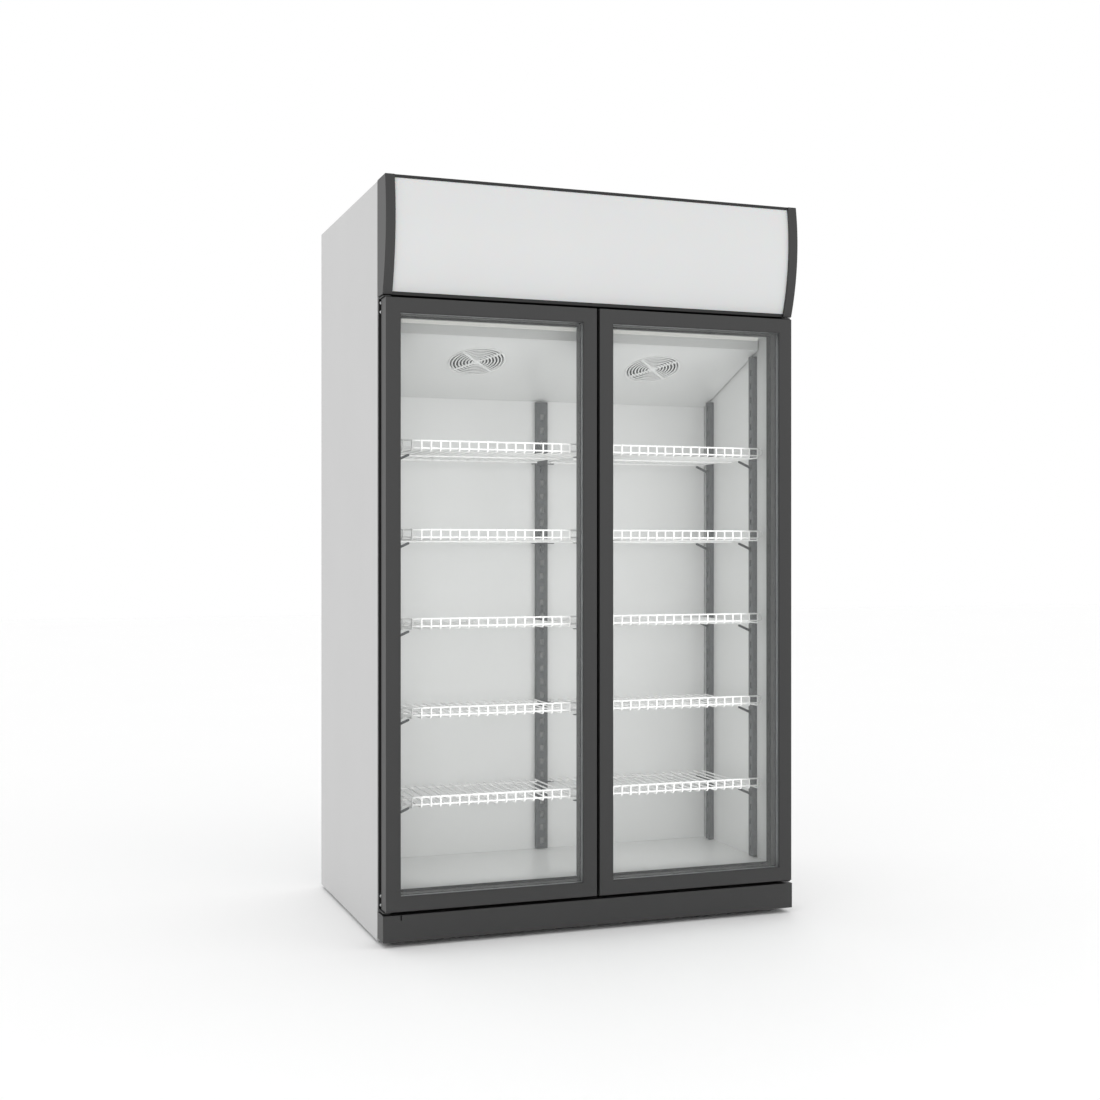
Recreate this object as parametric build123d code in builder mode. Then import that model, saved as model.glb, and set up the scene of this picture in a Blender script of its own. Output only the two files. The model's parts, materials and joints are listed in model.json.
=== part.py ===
from build123d import *
import os
from math import atan2, cos, degrees, radians, sin, sqrt

# Two-door glass merchandiser: an insulated upright cabinet with two glazed hinged doors, five
# levels of wire shelves, a lit sign canopy over the doors and a cooling unit on its roof.
# Millimetres.  +Z is up, the doors face -Y and +X is to the right seen from the front.
# The origin is on the floor, in the middle of the footprint.

# ---------------------------------------------------------------- overall sizes
overall_width = 1200.0
overall_height = 2015.0
cabinet_depth = 735.0           # side panels, front edge to rear face
canopy_projection = 95.0        # the canopy's furthest point ahead of the side panels
canopy_height = 309.0
canopy_radius = 565.0           # bow of the canopy's front
canopy_bow_drop = 106.0         # from the canopy's top down to its furthest point

# ---------------------------------------------------------------- cabinet shell
sheet = 1.0                     # outer and inner sheet metal
sheet_joint = 0.2               # space left between sheets that butt together
side_wall = 50.0                # outer face to inner face of an insulated side wall
rear_wall = 50.0
panel_return = 20.0             # folded front edge of a side panel
panel_clearance = 8.0           # floor to the side panels' lower edge
panel_top_step = 3.0            # side panels end this far under the canopy's top
base_clearance = 12.0           # floor to the base frame
rail_width = 40.0
rail_wall = 2.0
surround_depth = 4.0            # black front surround, ahead of the side panels
surround_margin = 2.0           # surround's outer edge inside the cabinet's outline

# ---------------------------------------------------------------- kick plate
kick_clearance = 15.0
kick_height = 70.0
kick_projection = 63.0
kick_sheet = 1.5
kick_slit_width = 3.0
kick_slit_depth = 14.0
kick_slit_inset = 47.0

# ---------------------------------------------------------------- doors
door_gap_below = 10.0
door_gap_above = 8.0
door_gap_middle = 8.0
door_side_inset = 6.0
door_depth = 51.0
door_standoff = 15.0            # door's rear face to the surround's face
frame_face = 40.0               # visible width of the door frame
frame_lip = 4.0                 # frame metal in front of the glazing
glazing_grip = 8.0              # how deep the glazing sits in the frame
glazing_clearance = 0.5
glass_thickness = 4.0
glass_gap = 12.0                # between the two panes
spacer_width = 7.0
frame_joint = 0.2
gasket_inset = 12.0
gasket_width = 16.0
gasket_clearance = 0.5
reveal_step = 4.0               # the cabinet's opening inside the door frame's opening
hinge_inset = 7.0               # hinge axis to the door's outer edge
hinge_setback = 18.0            # hinge axis to the door's front face
pin_radius = 5.0
pin_fit = 0.05                  # radial running clearance of a hinge pin
pin_reach = 18.0
pin_socket = 21.0
bracket_sheet = 3.0
bracket_width = 24.0
bracket_leg = 14.0
bracket_leg_height = 44.0
bracket_gap = 1.5               # bracket plate to the door
screw_radius = 2.5
screw_head_radius = 4.5
screw_head = 2.0
screw_length = 12.0
screw_spacing = 24.0

# ---------------------------------------------------------------- mullion and shelf standards
mullion_width = 68.0
mullion_depth = 14.0
standard_width = 25.0
standard_depth = 15.0
standard_wall = 1.5
centre_standard_width = 36.0
slot_pitch = 39.8
slot_height = 18.0
slot_width = 8.0
centre_slot_width = 11.0
standard_end_gap = 3.0
front_standard_setback = 57.0   # surround plane of the side panels to the front standards
rear_standard_setback = 345.0

# ---------------------------------------------------------------- air duct and evaporator cover
duct_setback = 405.0            # side panels' front edge to the visible back wall
duct_side_gap = 4.0
cover_setback = 45.0
fascia_height = 32.0
cover_drop = 167.0              # liner ceiling down to the cover's rear edge
cover_sheet = 1.2
fan_offset = 270.0              # fan axis from the middle of the cabinet
fan_setback = 144.0             # fan axis along the cover's slope
grille_radius = 80.0
grille_thickness = 2.5
grille_rings = 8
grille_slot = 4.5
grille_spoke = 7.0
grille_hub_radius = 7.0
fan_hole_radius = 76.0

# ---------------------------------------------------------------- wire shelves
shelf_levels = 5
shelf_fill = 5.6                # level pitches between the floor and the cover's rear edge
first_shelf_drop = 29.5         # first shelf sits this much under one pitch
wire_radius = 2.25
wire_pitch = 26.6
wire_gap = 0.05                 # space left between wires that are welded where they cross
wire_bend = 6.5
lip_height = 31.0
lip_corner = 8.0
lip_setback = 13.0              # lip to the side panels' front edge
lip_side_gap = 5.0
shelf_rear_gap = 17.0
shelf_side_gap = 4.0
shelf_rest = 0.3                # shelf to its clips
clip_sheet = 2.5
clip_reach = 40.0
clip_drop = 28.0
clip_height = 8.0
clip_tip = 5.0
clip_hook = 6.0                 # hook that hangs below a clip's slot
clip_tab = 3.0
tray_reach = 12.0
tray_half_width = 34.0
tray_hook_gap = 2.0             # tray hook inside its slot, each side

# ---------------------------------------------------------------- canopy
cap_width = 26.0
sign_inset = 7.0                # sign face behind the end caps' front edge
sign_sheet = 3.0
trim_above = 8.0
trim_below = 9.0
trim_sheet = 3.0
lamp_radius = 13.0

# ---------------------------------------------------------------- cooling unit
fan_hub_radius = 18.0
fan_hub_length = 14.0
fan_blades = 5
blade_sheet = 1.5
blade_pitch_angle = 28.0
blade_clearance = 5.0
shaft_radius = 3.0
shaft_fit = 0.05
motor_radius = 28.0
motor_length = 42.0
fan_lift = 8.0
arm_width = 8.0
condenser_fan_radius = 105.0
compressor_radius = 82.0
compressor_height = 190.0
pipe_radius = 5.0
pipe_hole_radius = 8.0
fin_pitch = 25.0
fin_sheet = 1.0
coil_tube_radius = 5.0

# ---------------------------------------------------------------- levelling feet
foot_inset_side = 60.0
foot_inset_front = 75.0
foot_inset_rear = 45.0
foot_radius = 20.0
foot_pad = 9.0
foot_stem_radius = 5.0
foot_stem_length = 55.0
foot_nut_radius = 9.0
foot_nut_height = 10.0

# ---------------------------------------------------------------- positions that follow
half_width = overall_width / 2
front_y = canopy_projection - (cabinet_depth + canopy_projection) / 2
rear_y = front_y + cabinet_depth
surround_y = front_y - surround_depth
door_rear_y = surround_y - door_standoff
door_front_y = door_rear_y - door_depth
canopy_bottom = overall_height - canopy_height
panel_top = overall_height - panel_top_step
kick_top = kick_clearance + kick_height
kick_front_y = front_y - kick_projection
door_bottom = kick_top + door_gap_below
door_top = canopy_bottom - door_gap_above
inner_half = half_width - side_wall
floor_z = door_bottom + frame_face + reveal_step
ceiling_z = door_top - frame_face - reveal_step
base_top = kick_top + surround_margin
deck_z = canopy_bottom - surround_margin
liner_rear = rear_y - rear_wall
duct_y = front_y + duct_setback
cover_y = front_y + cover_setback
fascia_z = ceiling_z - fascia_height
cover_low_z = ceiling_z - cover_drop
cover_slope = (fascia_z - cover_low_z) / (duct_y - cover_y)
cover_angle = degrees(atan2(fascia_z - cover_low_z, duct_y - cover_y))
door_outer = half_width - door_side_inset
door_inner = door_gap_middle / 2
hinge_x = door_outer - hinge_inset
hinge_y = door_front_y + hinge_setback
standard_face = inner_half - standard_depth

slots_per_level = int((cover_low_z - floor_z) / shelf_fill / slot_pitch)
shelf_pitch = slots_per_level * slot_pitch
first_shelf_z = floor_z + shelf_pitch - first_shelf_drop
shelf_heights = [first_shelf_z + level * shelf_pitch for level in range(shelf_levels)]

os.makedirs("parts", exist_ok=True)


def save(piece, label):
    """Label a finished part and write it to its own STEP file."""
    piece.part.label = label
    export_step(piece.part, f"parts/{label}.step")


def block(x_span, y_span, z_span, mode=Mode.ADD, heights=(0.0,)):
    """Add (or cut) a block between limits along X, Y and Z, repeated at each of the heights."""
    with Locations(*[(x_span[0], y_span[0], z_span[0] + height) for height in heights]):
        Box(x_span[1] - x_span[0], y_span[1] - y_span[0], z_span[1] - z_span[0],
            align=(Align.MIN, Align.MIN, Align.MIN), mode=mode)


def rod(start, end, radius, mode=Mode.ADD):
    """Add (or cut) a round rod between two points."""
    axis = Vector(*end) - Vector(*start)
    with Locations(Plane(origin=start, z_dir=axis)):
        Cylinder(radius, axis.length, align=(Align.CENTER, Align.CENTER, Align.MIN), mode=mode)


# ================================================================ cabinet shell
for side, side_name in ((-1, "left"), (1, "right")):
    with BuildPart() as side_panel:
        outer = side * half_width
        inner = side * (half_width - sheet)
        folded = side * (half_width - panel_return)
        block(sorted((outer, inner)), (front_y, rear_y), (panel_clearance, panel_top))
        block(sorted((outer, folded)), (front_y, front_y + sheet), (panel_clearance, panel_top))
    save(side_panel, f"side_panel_{side_name}")

shell_half = half_width - sheet - sheet_joint
vent_rows = 3
vent_pitch = 70.0
vent_length = 50.0
vent_width = 6.0
vent_row_pitch = 40.0
vent_columns = int((2 * shell_half - 200.0) / vent_pitch)

with BuildPart() as rear_panel:
    block((-shell_half, shell_half), (rear_y - sheet, rear_y), (base_clearance, panel_top - sheet))
    with BuildSketch(Plane.XZ.offset(-rear_y)) as rear_vents:
        with Locations((0, (deck_z + panel_top) / 2)):
            with GridLocations(vent_pitch, vent_row_pitch, vent_columns, vent_rows):
                SlotOverall(vent_length, vent_width)
    extrude(amount=sheet, mode=Mode.SUBTRACT)
    switch_window_x = half_width - 130.0
    switch_window_z = deck_z + 60.0
    inlet_x = switch_window_x - 70.0
    block((switch_window_x - 16.5, switch_window_x + 16.5), (rear_y - sheet, rear_y),
          (switch_window_z - 12.5, switch_window_z + 12.5), Mode.SUBTRACT)
    rod((inlet_x, rear_y - sheet, switch_window_z), (inlet_x, rear_y, switch_window_z), 10.2, Mode.SUBTRACT)
save(rear_panel, "rear_panel")

with BuildPart() as top_panel:
    block((-shell_half, shell_half), (front_y + sheet + sheet_joint, rear_y - sheet - sheet_joint),
          (panel_top - sheet, panel_top))
    with BuildSketch(Plane.XY.offset(panel_top)) as top_vents:
        with Locations((0, (front_y + rear_y) / 2)):
            with GridLocations(vent_pitch, vent_row_pitch, vent_columns, vent_rows):
                SlotOverall(vent_length, vent_width)
    extrude(amount=-sheet, mode=Mode.SUBTRACT)
save(top_panel, "top_panel")

deck_front = front_y + sheet + sheet_joint
pipe_x = (-inner_half + 60.0, -inner_half + 90.0)
pipe_y = liner_rear - 90.0

with BuildPart() as machine_deck:
    block((-shell_half, shell_half), (deck_front, rear_y - sheet - sheet_joint), (deck_z - sheet, deck_z))
    for x in pipe_x:
        rod((x, pipe_y, deck_z - sheet), (x, pipe_y, deck_z), pipe_hole_radius, Mode.SUBTRACT)
save(machine_deck, "machine_deck")

# Inner liner: floor, ceiling, back and two sides as separate sheets
liner_front = front_y + sheet_joint
with BuildPart() as inner_liner:
    block((-inner_half, inner_half), (liner_front, liner_rear), (floor_z - sheet, floor_z))
    block((-inner_half, inner_half), (liner_front, liner_rear), (ceiling_z, ceiling_z + sheet))
    block((-inner_half, inner_half), (liner_rear + sheet_joint, liner_rear + sheet_joint + sheet),
          (floor_z - sheet, ceiling_z + sheet))
    for side in (-1, 1):
        inner = side * (inner_half + sheet_joint)
        outer = side * (inner_half + sheet_joint + sheet)
        block(sorted((inner, outer)), (liner_front, liner_rear + sheet_joint + sheet),
              (floor_z - sheet, ceiling_z + sheet))
    for x in pipe_x:
        rod((x, pipe_y, ceiling_z), (x, pipe_y, ceiling_z + sheet), pipe_hole_radius, Mode.SUBTRACT)
save(inner_liner, "inner_liner")

# Foam slabs that fill the walls
foam_front = front_y + sheet + sheet_joint
foam_inner = inner_half + 2 * sheet_joint + sheet
foam_outer = half_width - sheet - sheet_joint
foam_rear = rear_y - sheet - sheet_joint
foam_low = floor_z - sheet - sheet_joint
foam_high = ceiling_z + sheet + sheet_joint
with BuildPart() as insulation_foam:
    for side in (-1, 1):
        block(sorted((side * foam_inner, side * foam_outer)), (foam_front, foam_rear),
              (base_top + sheet_joint, deck_z - sheet - sheet_joint))
    slab_half = foam_inner - sheet_joint
    back_front = liner_rear + 2 * sheet_joint + sheet
    block((-slab_half, slab_half), (back_front, foam_rear), (foam_low, foam_high))
    block((-slab_half, slab_half), (foam_front, foam_rear), (base_top + sheet_joint, foam_low - sheet_joint))
    block((-slab_half, slab_half), (foam_front, foam_rear), (foam_high + sheet_joint, deck_z - sheet - sheet_joint))
    for x in pipe_x:
        rod((x, pipe_y, foam_high), (x, pipe_y, deck_z), pipe_hole_radius, Mode.SUBTRACT)
save(insulation_foam, "insulation_foam")

# ---------------------------------------------------------------- base frame and feet
base_front = front_y + sheet + sheet_joint
base_rear = rear_y - sheet - sheet_joint
base_half = half_width - sheet - sheet_joint
foot_places = [(side * (half_width - foot_inset_side), y)
               for side in (-1, 1)
               for y in (front_y + foot_inset_front, rear_y - foot_inset_rear)]

with BuildPart() as base_frame:
    for side in (-1, 1):
        outer = side * base_half
        inner = side * (base_half - 2 * rail_width)
        block(sorted((outer, inner)), (base_front, base_rear), (base_clearance, base_top))
        block(sorted((outer - side * rail_wall, inner + side * rail_wall)), (base_front, base_rear),
              (base_clearance + rail_wall, base_top - rail_wall), Mode.SUBTRACT)
    cross_half = base_half - 2 * rail_width - sheet_joint
    for y in (base_front, base_rear - rail_width):
        block((-cross_half, cross_half), (y, y + rail_width), (base_clearance, base_top))
        block((-cross_half, cross_half), (y + rail_wall, y + rail_width - rail_wall),
              (base_clearance + rail_wall, base_top - rail_wall), Mode.SUBTRACT)
    nut_top = base_clearance + rail_wall + foot_nut_height
    for x, y in foot_places:
        rod((x, y, base_clearance + rail_wall), (x, y, nut_top), foot_nut_radius)
        rod((x, y, base_clearance), (x, y, nut_top), foot_stem_radius + pin_fit, Mode.SUBTRACT)
save(base_frame, "base_frame")

foot_names = ("foot_left_front", "foot_left_rear", "foot_right_front", "foot_right_rear")
for (x, y), foot_name in zip(foot_places, foot_names):
    with BuildPart() as foot:
        with BuildSketch(Plane.XZ.offset(-y)) as foot_outline:
            with BuildLine():
                Polyline((x, 0), (x + foot_radius - 1, 0), (x + foot_radius, 1), (x + foot_radius, 4),
                         (x + foot_stem_radius + 3, foot_pad), (x + foot_stem_radius, foot_pad),
                         (x + foot_stem_radius, foot_pad + foot_stem_length),
                         (x, foot_pad + foot_stem_length), close=True)
            make_face()
        revolve(axis=Axis((x, y, 0), (0, 0, 1)))
    save(foot, foot_name)

# ---------------------------------------------------------------- kick plate
kick_rear_y = front_y - sheet_joint
with BuildPart() as kick_plate:
    block((-half_width, half_width), (kick_front_y, kick_rear_y), (kick_clearance, kick_top))
    kick_edges = kick_plate.edges().filter_by(Axis.Z).sort_by(Axis.Y)[:2]
    fillet(kick_edges, radius=2.0)
    block((-half_width + kick_sheet, half_width - kick_sheet), (kick_front_y + kick_sheet, kick_rear_y),
          (kick_clearance, kick_top - kick_sheet), Mode.SUBTRACT)
    slit_x = kick_slit_inset - half_width
    block((slit_x, slit_x + kick_slit_width), (kick_front_y, kick_front_y + kick_sheet),
          (kick_top - kick_slit_depth, kick_top), Mode.SUBTRACT)
save(kick_plate, "kick_plate")

# ---------------------------------------------------------------- front surround and mullion
surround_half = half_width - surround_margin
with BuildPart() as front_surround:
    for side in (-1, 1):
        block(sorted((side * inner_half, side * surround_half)), (surround_y, front_y),
              (floor_z + sheet_joint, ceiling_z - sheet_joint))
    block((-surround_half, surround_half), (surround_y, front_y), (base_top, floor_z))
    block((-surround_half, surround_half), (surround_y, front_y), (ceiling_z, deck_z))
save(front_surround, "front_surround")

mullion_half = mullion_width / 2
mullion_rear = surround_y + mullion_depth
with BuildPart() as centre_mullion:
    block((-mullion_half, mullion_half), (surround_y, mullion_rear), (floor_z + sheet_joint, ceiling_z - sheet_joint))
    block((-mullion_half + rail_wall, mullion_half - rail_wall), (surround_y + rail_wall, mullion_rear - rail_wall),
          (floor_z + sheet_joint, ceiling_z - sheet_joint), Mode.SUBTRACT)
save(centre_mullion, "centre_mullion")

# ================================================================ air duct and evaporator cover
duct_half = inner_half - duct_side_gap


def cover_height(y):
    """Height of the cover's lower face at a distance from the front."""
    return fascia_z - (y - cover_y) * cover_slope


with BuildPart() as duct_panel:
    block((-duct_half, duct_half), (duct_y, duct_y + cover_sheet), (floor_z + sheet_joint, cover_low_z - sheet_joint))
    for side in (-1, 1):
        edge = side * duct_half
        block(sorted((edge, edge - side * cover_sheet)), (duct_y, liner_rear - 2.0),
              (floor_z + sheet_joint, cover_low_z - sheet_joint))
save(duct_panel, "duct_panel")

cover_plane = Plane(origin=(0, cover_y, fascia_z), x_dir=(1, 0, 0),
                    z_dir=(0, sin(radians(cover_angle)), cos(radians(cover_angle))))
fan_places = [(-fan_offset, fan_setback), (fan_offset, fan_setback)]

with BuildPart() as evaporator_cover:
    with BuildSketch(Plane.YZ.offset(-duct_half)) as cover_outline:
        with BuildLine():
            Polyline((cover_y, ceiling_z - sheet_joint), (cover_y, fascia_z), (duct_y, cover_low_z),
                     (duct_y, cover_low_z + cover_sheet),
                     (cover_y + cover_sheet, cover_height(cover_y + cover_sheet) + cover_sheet),
                     (cover_y + cover_sheet, ceiling_z - sheet_joint), close=True)
        make_face()
    extrude(amount=2 * duct_half)
    with BuildSketch(cover_plane.offset(-5)) as fan_openings:
        with Locations(*fan_places):
            Circle(fan_hole_radius)
    extrude(amount=15, mode=Mode.SUBTRACT)
save(evaporator_cover, "evaporator_cover")

ring_pitch = (grille_radius - grille_hub_radius) / grille_rings
with BuildPart() as fan_guards:
    with BuildSketch(cover_plane.offset(-grille_thickness - sheet_joint)) as guard_outline:
        with Locations(*fan_places):
            Circle(grille_radius + 2)
            for ring in range(grille_rings):
                slot_inner = grille_hub_radius + ring * ring_pitch
                Circle(slot_inner + grille_slot, mode=Mode.SUBTRACT)
                Circle(slot_inner)
            for turn in (45, 135):
                with Locations(Location((0, 0, 0), (0, 0, turn))):
                    Rectangle(2 * grille_radius, grille_spoke)
    extrude(amount=grille_thickness)
save(fan_guards, "fan_guards")

# ================================================================ shelf standards
def slot_rows(top):
    """Heights of the slots of a standard that ends at the given height."""
    tang = first_shelf_z - clip_drop + clip_height / 2
    below = int((tang - floor_z - slot_height) // slot_pitch)
    lowest = tang - below * slot_pitch
    count = int((top - slot_height - lowest) // slot_pitch) + 1
    return [lowest + row * slot_pitch for row in range(count)]


def channel(face, wall_plane, along, width, slot, toward):
    """Limits of a shelf standard: a folded channel whose slotted face looks away from the wall."""
    low = floor_z + standard_end_gap
    reach = sorted((face, wall_plane))
    hollow = sorted((face + toward * standard_wall, wall_plane))
    spans = (along - width / 2, along + width / 2)
    inner = (spans[0] + standard_wall, spans[1] - standard_wall)
    slot_span = (along - slot / 2, along + slot / 2)
    skin = sorted((face, face + toward * standard_wall))
    return low, reach, hollow, spans, inner, slot_span, skin


front_standard_y = front_y + front_standard_setback + standard_width / 2
rear_standard_y = front_y + rear_standard_setback + standard_width / 2

slot_span_z = (-slot_height / 2, slot_height / 2)
centre_rear_face = duct_y - standard_depth
centre_front_face = mullion_rear + standard_depth

with BuildPart() as shelf_standards:
    for side in (-1, 1):
        for y in (front_standard_y, rear_standard_y):
            top = cover_height(y + standard_width / 2) - standard_end_gap
            low, reach, hollow, spans, inner, slot_span, skin = channel(
                side * standard_face, side * (inner_half - sheet_joint), y, standard_width, slot_width, side)
            block(reach, spans, (low, top))
            block(hollow, inner, (low, top), Mode.SUBTRACT)
            block(skin, slot_span, slot_span_z, Mode.SUBTRACT, slot_rows(top))
    for face, wall_plane, toward in ((centre_rear_face, duct_y - sheet_joint, 1),
                                     (centre_front_face, mullion_rear + sheet_joint, -1)):
        top = cover_height(max(face, wall_plane)) - standard_end_gap
        low, reach, hollow, spans, inner, slot_span, skin = channel(
            face, wall_plane, 0, centre_standard_width, centre_slot_width, toward)
        block(spans, reach, (low, top))
        block(inner, hollow, (low, top), Mode.SUBTRACT)
        block(slot_span, skin, slot_span_z, Mode.SUBTRACT, slot_rows(top))
save(shelf_standards, "shelf_standards")

# ================================================================ wire shelves
shelf_outer = standard_face - shelf_side_gap - wire_radius
shelf_inner = centre_standard_width / 2 + shelf_side_gap + wire_radius
shelf_rear = duct_y - shelf_rear_gap
lip_y = front_y + lip_setback
wire_gaps = round((shelf_outer - shelf_inner) / wire_pitch)
wire_spacing = (shelf_outer - shelf_inner) / wire_gaps
wire_step = 2 * wire_radius + wire_gap
loop_y = lip_y + wire_step
loop_low = wire_radius + wire_bend
loop_high = lip_height - wire_radius
loop_outer = inner_half - lip_side_gap - wire_radius
rod_z = wire_radius - wire_step
rod_places = (loop_y + 0.45 * (shelf_rear - loop_y), shelf_rear - 15.0)

# One deck wire lies front to back.  Its front end turns up to make the lip, and is a solid of its own,
# so that the straight run and the upturned end are both simple shapes.
bend_start = lip_y + wire_bend
with BuildPart() as deck_wire:
    rod((0, bend_start + wire_gap, wire_radius), (0, shelf_rear, wire_radius), wire_radius)
    with BuildLine(Plane.YZ) as wire_route:
        JernArc(start=(bend_start, wire_radius), tangent=(-1, 0), radius=wire_bend, arc_size=-90)
        Line(wire_route.line @ 1, (lip_y, lip_height))
    with BuildSketch(Plane(origin=(0, bend_start, wire_radius), z_dir=(0, -1, 0))) as wire_section:
        Circle(wire_radius)
    sweep()

# The loop behind the lip's upright wires, which closes the lip at both ends
with BuildPart() as lip_loop:
    with BuildLine(Plane.XZ.offset(-loop_y)) as loop_route:
        FilletPolyline((shelf_inner, loop_low), (loop_outer, loop_low), (loop_outer, loop_high),
                       (shelf_inner, loop_high), radius=lip_corner, close=True)
    with BuildSketch(Plane(origin=loop_route.line @ 0, z_dir=loop_route.line % 0)) as loop_section:
        Circle(wire_radius)
    sweep()

with BuildPart() as right_shelf:
    add(lip_loop.part)
    with Locations(*[(shelf_inner + place * wire_spacing, 0, 0) for place in range(wire_gaps + 1)]):
        add(deck_wire.part)
    for y in rod_places:
        rod((shelf_inner - wire_radius, y, rod_z), (shelf_outer + wire_radius, y, rod_z), wire_radius)

with BuildPart() as left_shelf:
    add(right_shelf.part)
    mirror(about=Plane.YZ, mode=Mode.REPLACE)

for level, height in enumerate(shelf_heights, start=1):
    for template, side_name in ((left_shelf, "left"), (right_shelf, "right")):
        with BuildPart() as shelf:
            with Locations((0, 0, height)):
                add(template.part)
        save(shelf, f"shelf_{side_name}_{level}")

# Shelf clips: a hooked arm at each side standard, a small tray at each centre standard
clip_top = rod_z - wire_radius - shelf_rest
with BuildPart() as shelf_clips:
    hook_span = (tray_hook_gap - centre_slot_width / 2, centre_slot_width / 2 - tray_hook_gap)
    for height in shelf_heights:
        tip = height + clip_top
        heel = height - clip_drop
        for side in (-1, 1):
            face = side * standard_face
            for y in (front_standard_y, rear_standard_y):
                with BuildSketch(Plane.XZ.offset(-y - clip_sheet / 2)) as arm_outline:
                    with BuildLine():
                        Polyline((face, heel), (face, heel + clip_height),
                                 (face - side * (clip_reach - clip_tip), tip), (face - side * clip_reach, tip),
                                 (face - side * clip_reach, tip - clip_tip), close=True)
                    make_face()
                extrude(amount=clip_sheet)
                wall = face + side * (standard_wall + sheet_joint)
                block(sorted((face, wall)), (y - clip_sheet / 2, y + clip_sheet / 2), (heel, heel + clip_height))
                block(sorted((wall, wall + side * clip_tab)), (y - clip_sheet / 2, y + clip_sheet / 2),
                      (heel - clip_hook, heel + clip_height))
        for face, toward in ((centre_rear_face, 1), (centre_front_face, -1)):
            gap = face - toward * sheet_joint
            tray_span = sorted((gap, gap - toward * tray_reach))
            block((-tray_half_width, tray_half_width), tray_span, (tip - clip_sheet, tip))
            block(hook_span,
                  sorted((gap, gap - toward * clip_sheet)), (heel, tip))
            wall = face + toward * (standard_wall + sheet_joint)
            block(hook_span,
                  sorted((gap, wall)), (heel, heel + clip_height))
            block(hook_span,
                  sorted((wall, wall + toward * clip_tab)), (heel - clip_hook, heel + clip_height))
save(shelf_clips, "shelf_clips")

# ================================================================ doors
glazing_y = door_front_y + frame_lip
glazing_depth = 2 * glass_thickness + glass_gap
groove_depth = glazing_depth + 2 * glazing_clearance
glazing_front_y = glazing_y + glazing_clearance


def door_span(side, low, high):
    """Limits along X of something on a door, measured from the middle of the cabinet."""
    return sorted((side * low, side * high))


for side, side_name in ((-1, "left"), (1, "right")):
    opening = (door_inner + frame_face, door_outer - frame_face)
    grip = (opening[0] - glazing_grip, opening[1] + glazing_grip)
    opening_z = (door_bottom + frame_face, door_top - frame_face)
    grip_z = (opening_z[0] - glazing_grip, opening_z[1] + glazing_grip)
    with BuildPart() as door_frame:
        for low, high in ((door_inner, opening[0]), (opening[1], door_outer)):
            block(door_span(side, low, high), (door_front_y, door_rear_y), (door_bottom, door_top))
        outer_edges = door_frame.edges().filter_by(Axis.Z).filter_by(
            lambda edge: abs(edge.center().Y - door_front_y) < 1e-3 and
            min(abs(abs(edge.center().X) - door_inner), abs(abs(edge.center().X) - door_outer)) < 1e-3)
        fillet(outer_edges, radius=1.5)
        for low, high in ((door_bottom, opening_z[0]), (opening_z[1], door_top)):
            block(door_span(side, opening[0] + frame_joint, opening[1] - frame_joint),
                  (door_front_y, door_rear_y), (low, high))
        block(door_span(side, grip[0], grip[1]), (glazing_y, glazing_y + groove_depth), grip_z, Mode.SUBTRACT)
        socket_x = side * hinge_x
        for start, end in ((door_bottom, door_bottom + pin_socket), (door_top - pin_socket, door_top)):
            rod((socket_x, hinge_y, start), (socket_x, hinge_y, end), pin_radius + pin_fit, Mode.SUBTRACT)
    save(door_frame, f"door_{side_name}_frame")

    pane_x = door_span(side, grip[0] + glazing_clearance, grip[1] - glazing_clearance)
    pane_z = (grip_z[0] + glazing_clearance, grip_z[1] - glazing_clearance)
    rear_pane_y = glazing_front_y + glass_thickness + glass_gap
    with BuildPart() as door_glass:
        block(pane_x, (glazing_front_y, glazing_front_y + glass_thickness), pane_z)
        block(pane_x, (rear_pane_y, rear_pane_y + glass_thickness), pane_z)
    save(door_glass, f"door_{side_name}_glass")

    spacer_y = (glazing_front_y + glass_thickness, rear_pane_y)
    with BuildPart() as door_spacer:
        for start in (pane_x[0], pane_x[1] - spacer_width):
            block((start, start + spacer_width), spacer_y, pane_z)
        for start in (pane_z[0], pane_z[1] - spacer_width):
            block((pane_x[0] + spacer_width + frame_joint, pane_x[1] - spacer_width - frame_joint),
                  spacer_y, (start, start + spacer_width))
    save(door_spacer, f"door_{side_name}_spacer")

    gasket_x = (door_inner + gasket_inset, door_outer - gasket_inset)
    gasket_z = (door_bottom + gasket_inset, door_top - gasket_inset)
    gasket_y = (door_rear_y, surround_y - gasket_clearance)
    with BuildPart() as door_gasket:
        for start in (gasket_x[0], gasket_x[1] - gasket_width):
            block(door_span(side, start, start + gasket_width), gasket_y, gasket_z)
        for start in (gasket_z[0], gasket_z[1] - gasket_width):
            block(door_span(side, gasket_x[0] + gasket_width + frame_joint, gasket_x[1] - gasket_width - frame_joint),
                  gasket_y, (start, start + gasket_width))
    save(door_gasket, f"door_{side_name}_gasket")

# ---------------------------------------------------------------- hinges
plate_levels = ((door_bottom - bracket_gap - bracket_sheet, 1), (door_top + bracket_gap, -1))
leg_outer = half_width - surround_margin
leg_inner = leg_outer - bracket_leg
with BuildPart() as hinge_brackets:
    for side in (-1, 1):
        for plate_z, leg_way in plate_levels:
            plate = (plate_z, plate_z + bracket_sheet)
            block(sorted((side * leg_outer, side * (leg_outer - bracket_width))),
                  (hinge_y, surround_y - sheet_joint), plate)
            rod((side * hinge_x, hinge_y, plate[0]), (side * hinge_x, hinge_y, plate[1]), leg_outer - hinge_x)
            leg_start = plate[0] if leg_way > 0 else plate[1] - bracket_leg_height
            block(sorted((side * leg_outer, side * leg_inner)),
                  (surround_y - sheet_joint - bracket_sheet, surround_y - sheet_joint),
                  (leg_start, leg_start + bracket_leg_height))
            rod((side * hinge_x, hinge_y, plate[0]), (side * hinge_x, hinge_y, plate[1]), pin_radius,
                Mode.SUBTRACT)
save(hinge_brackets, "hinge_brackets")

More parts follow.
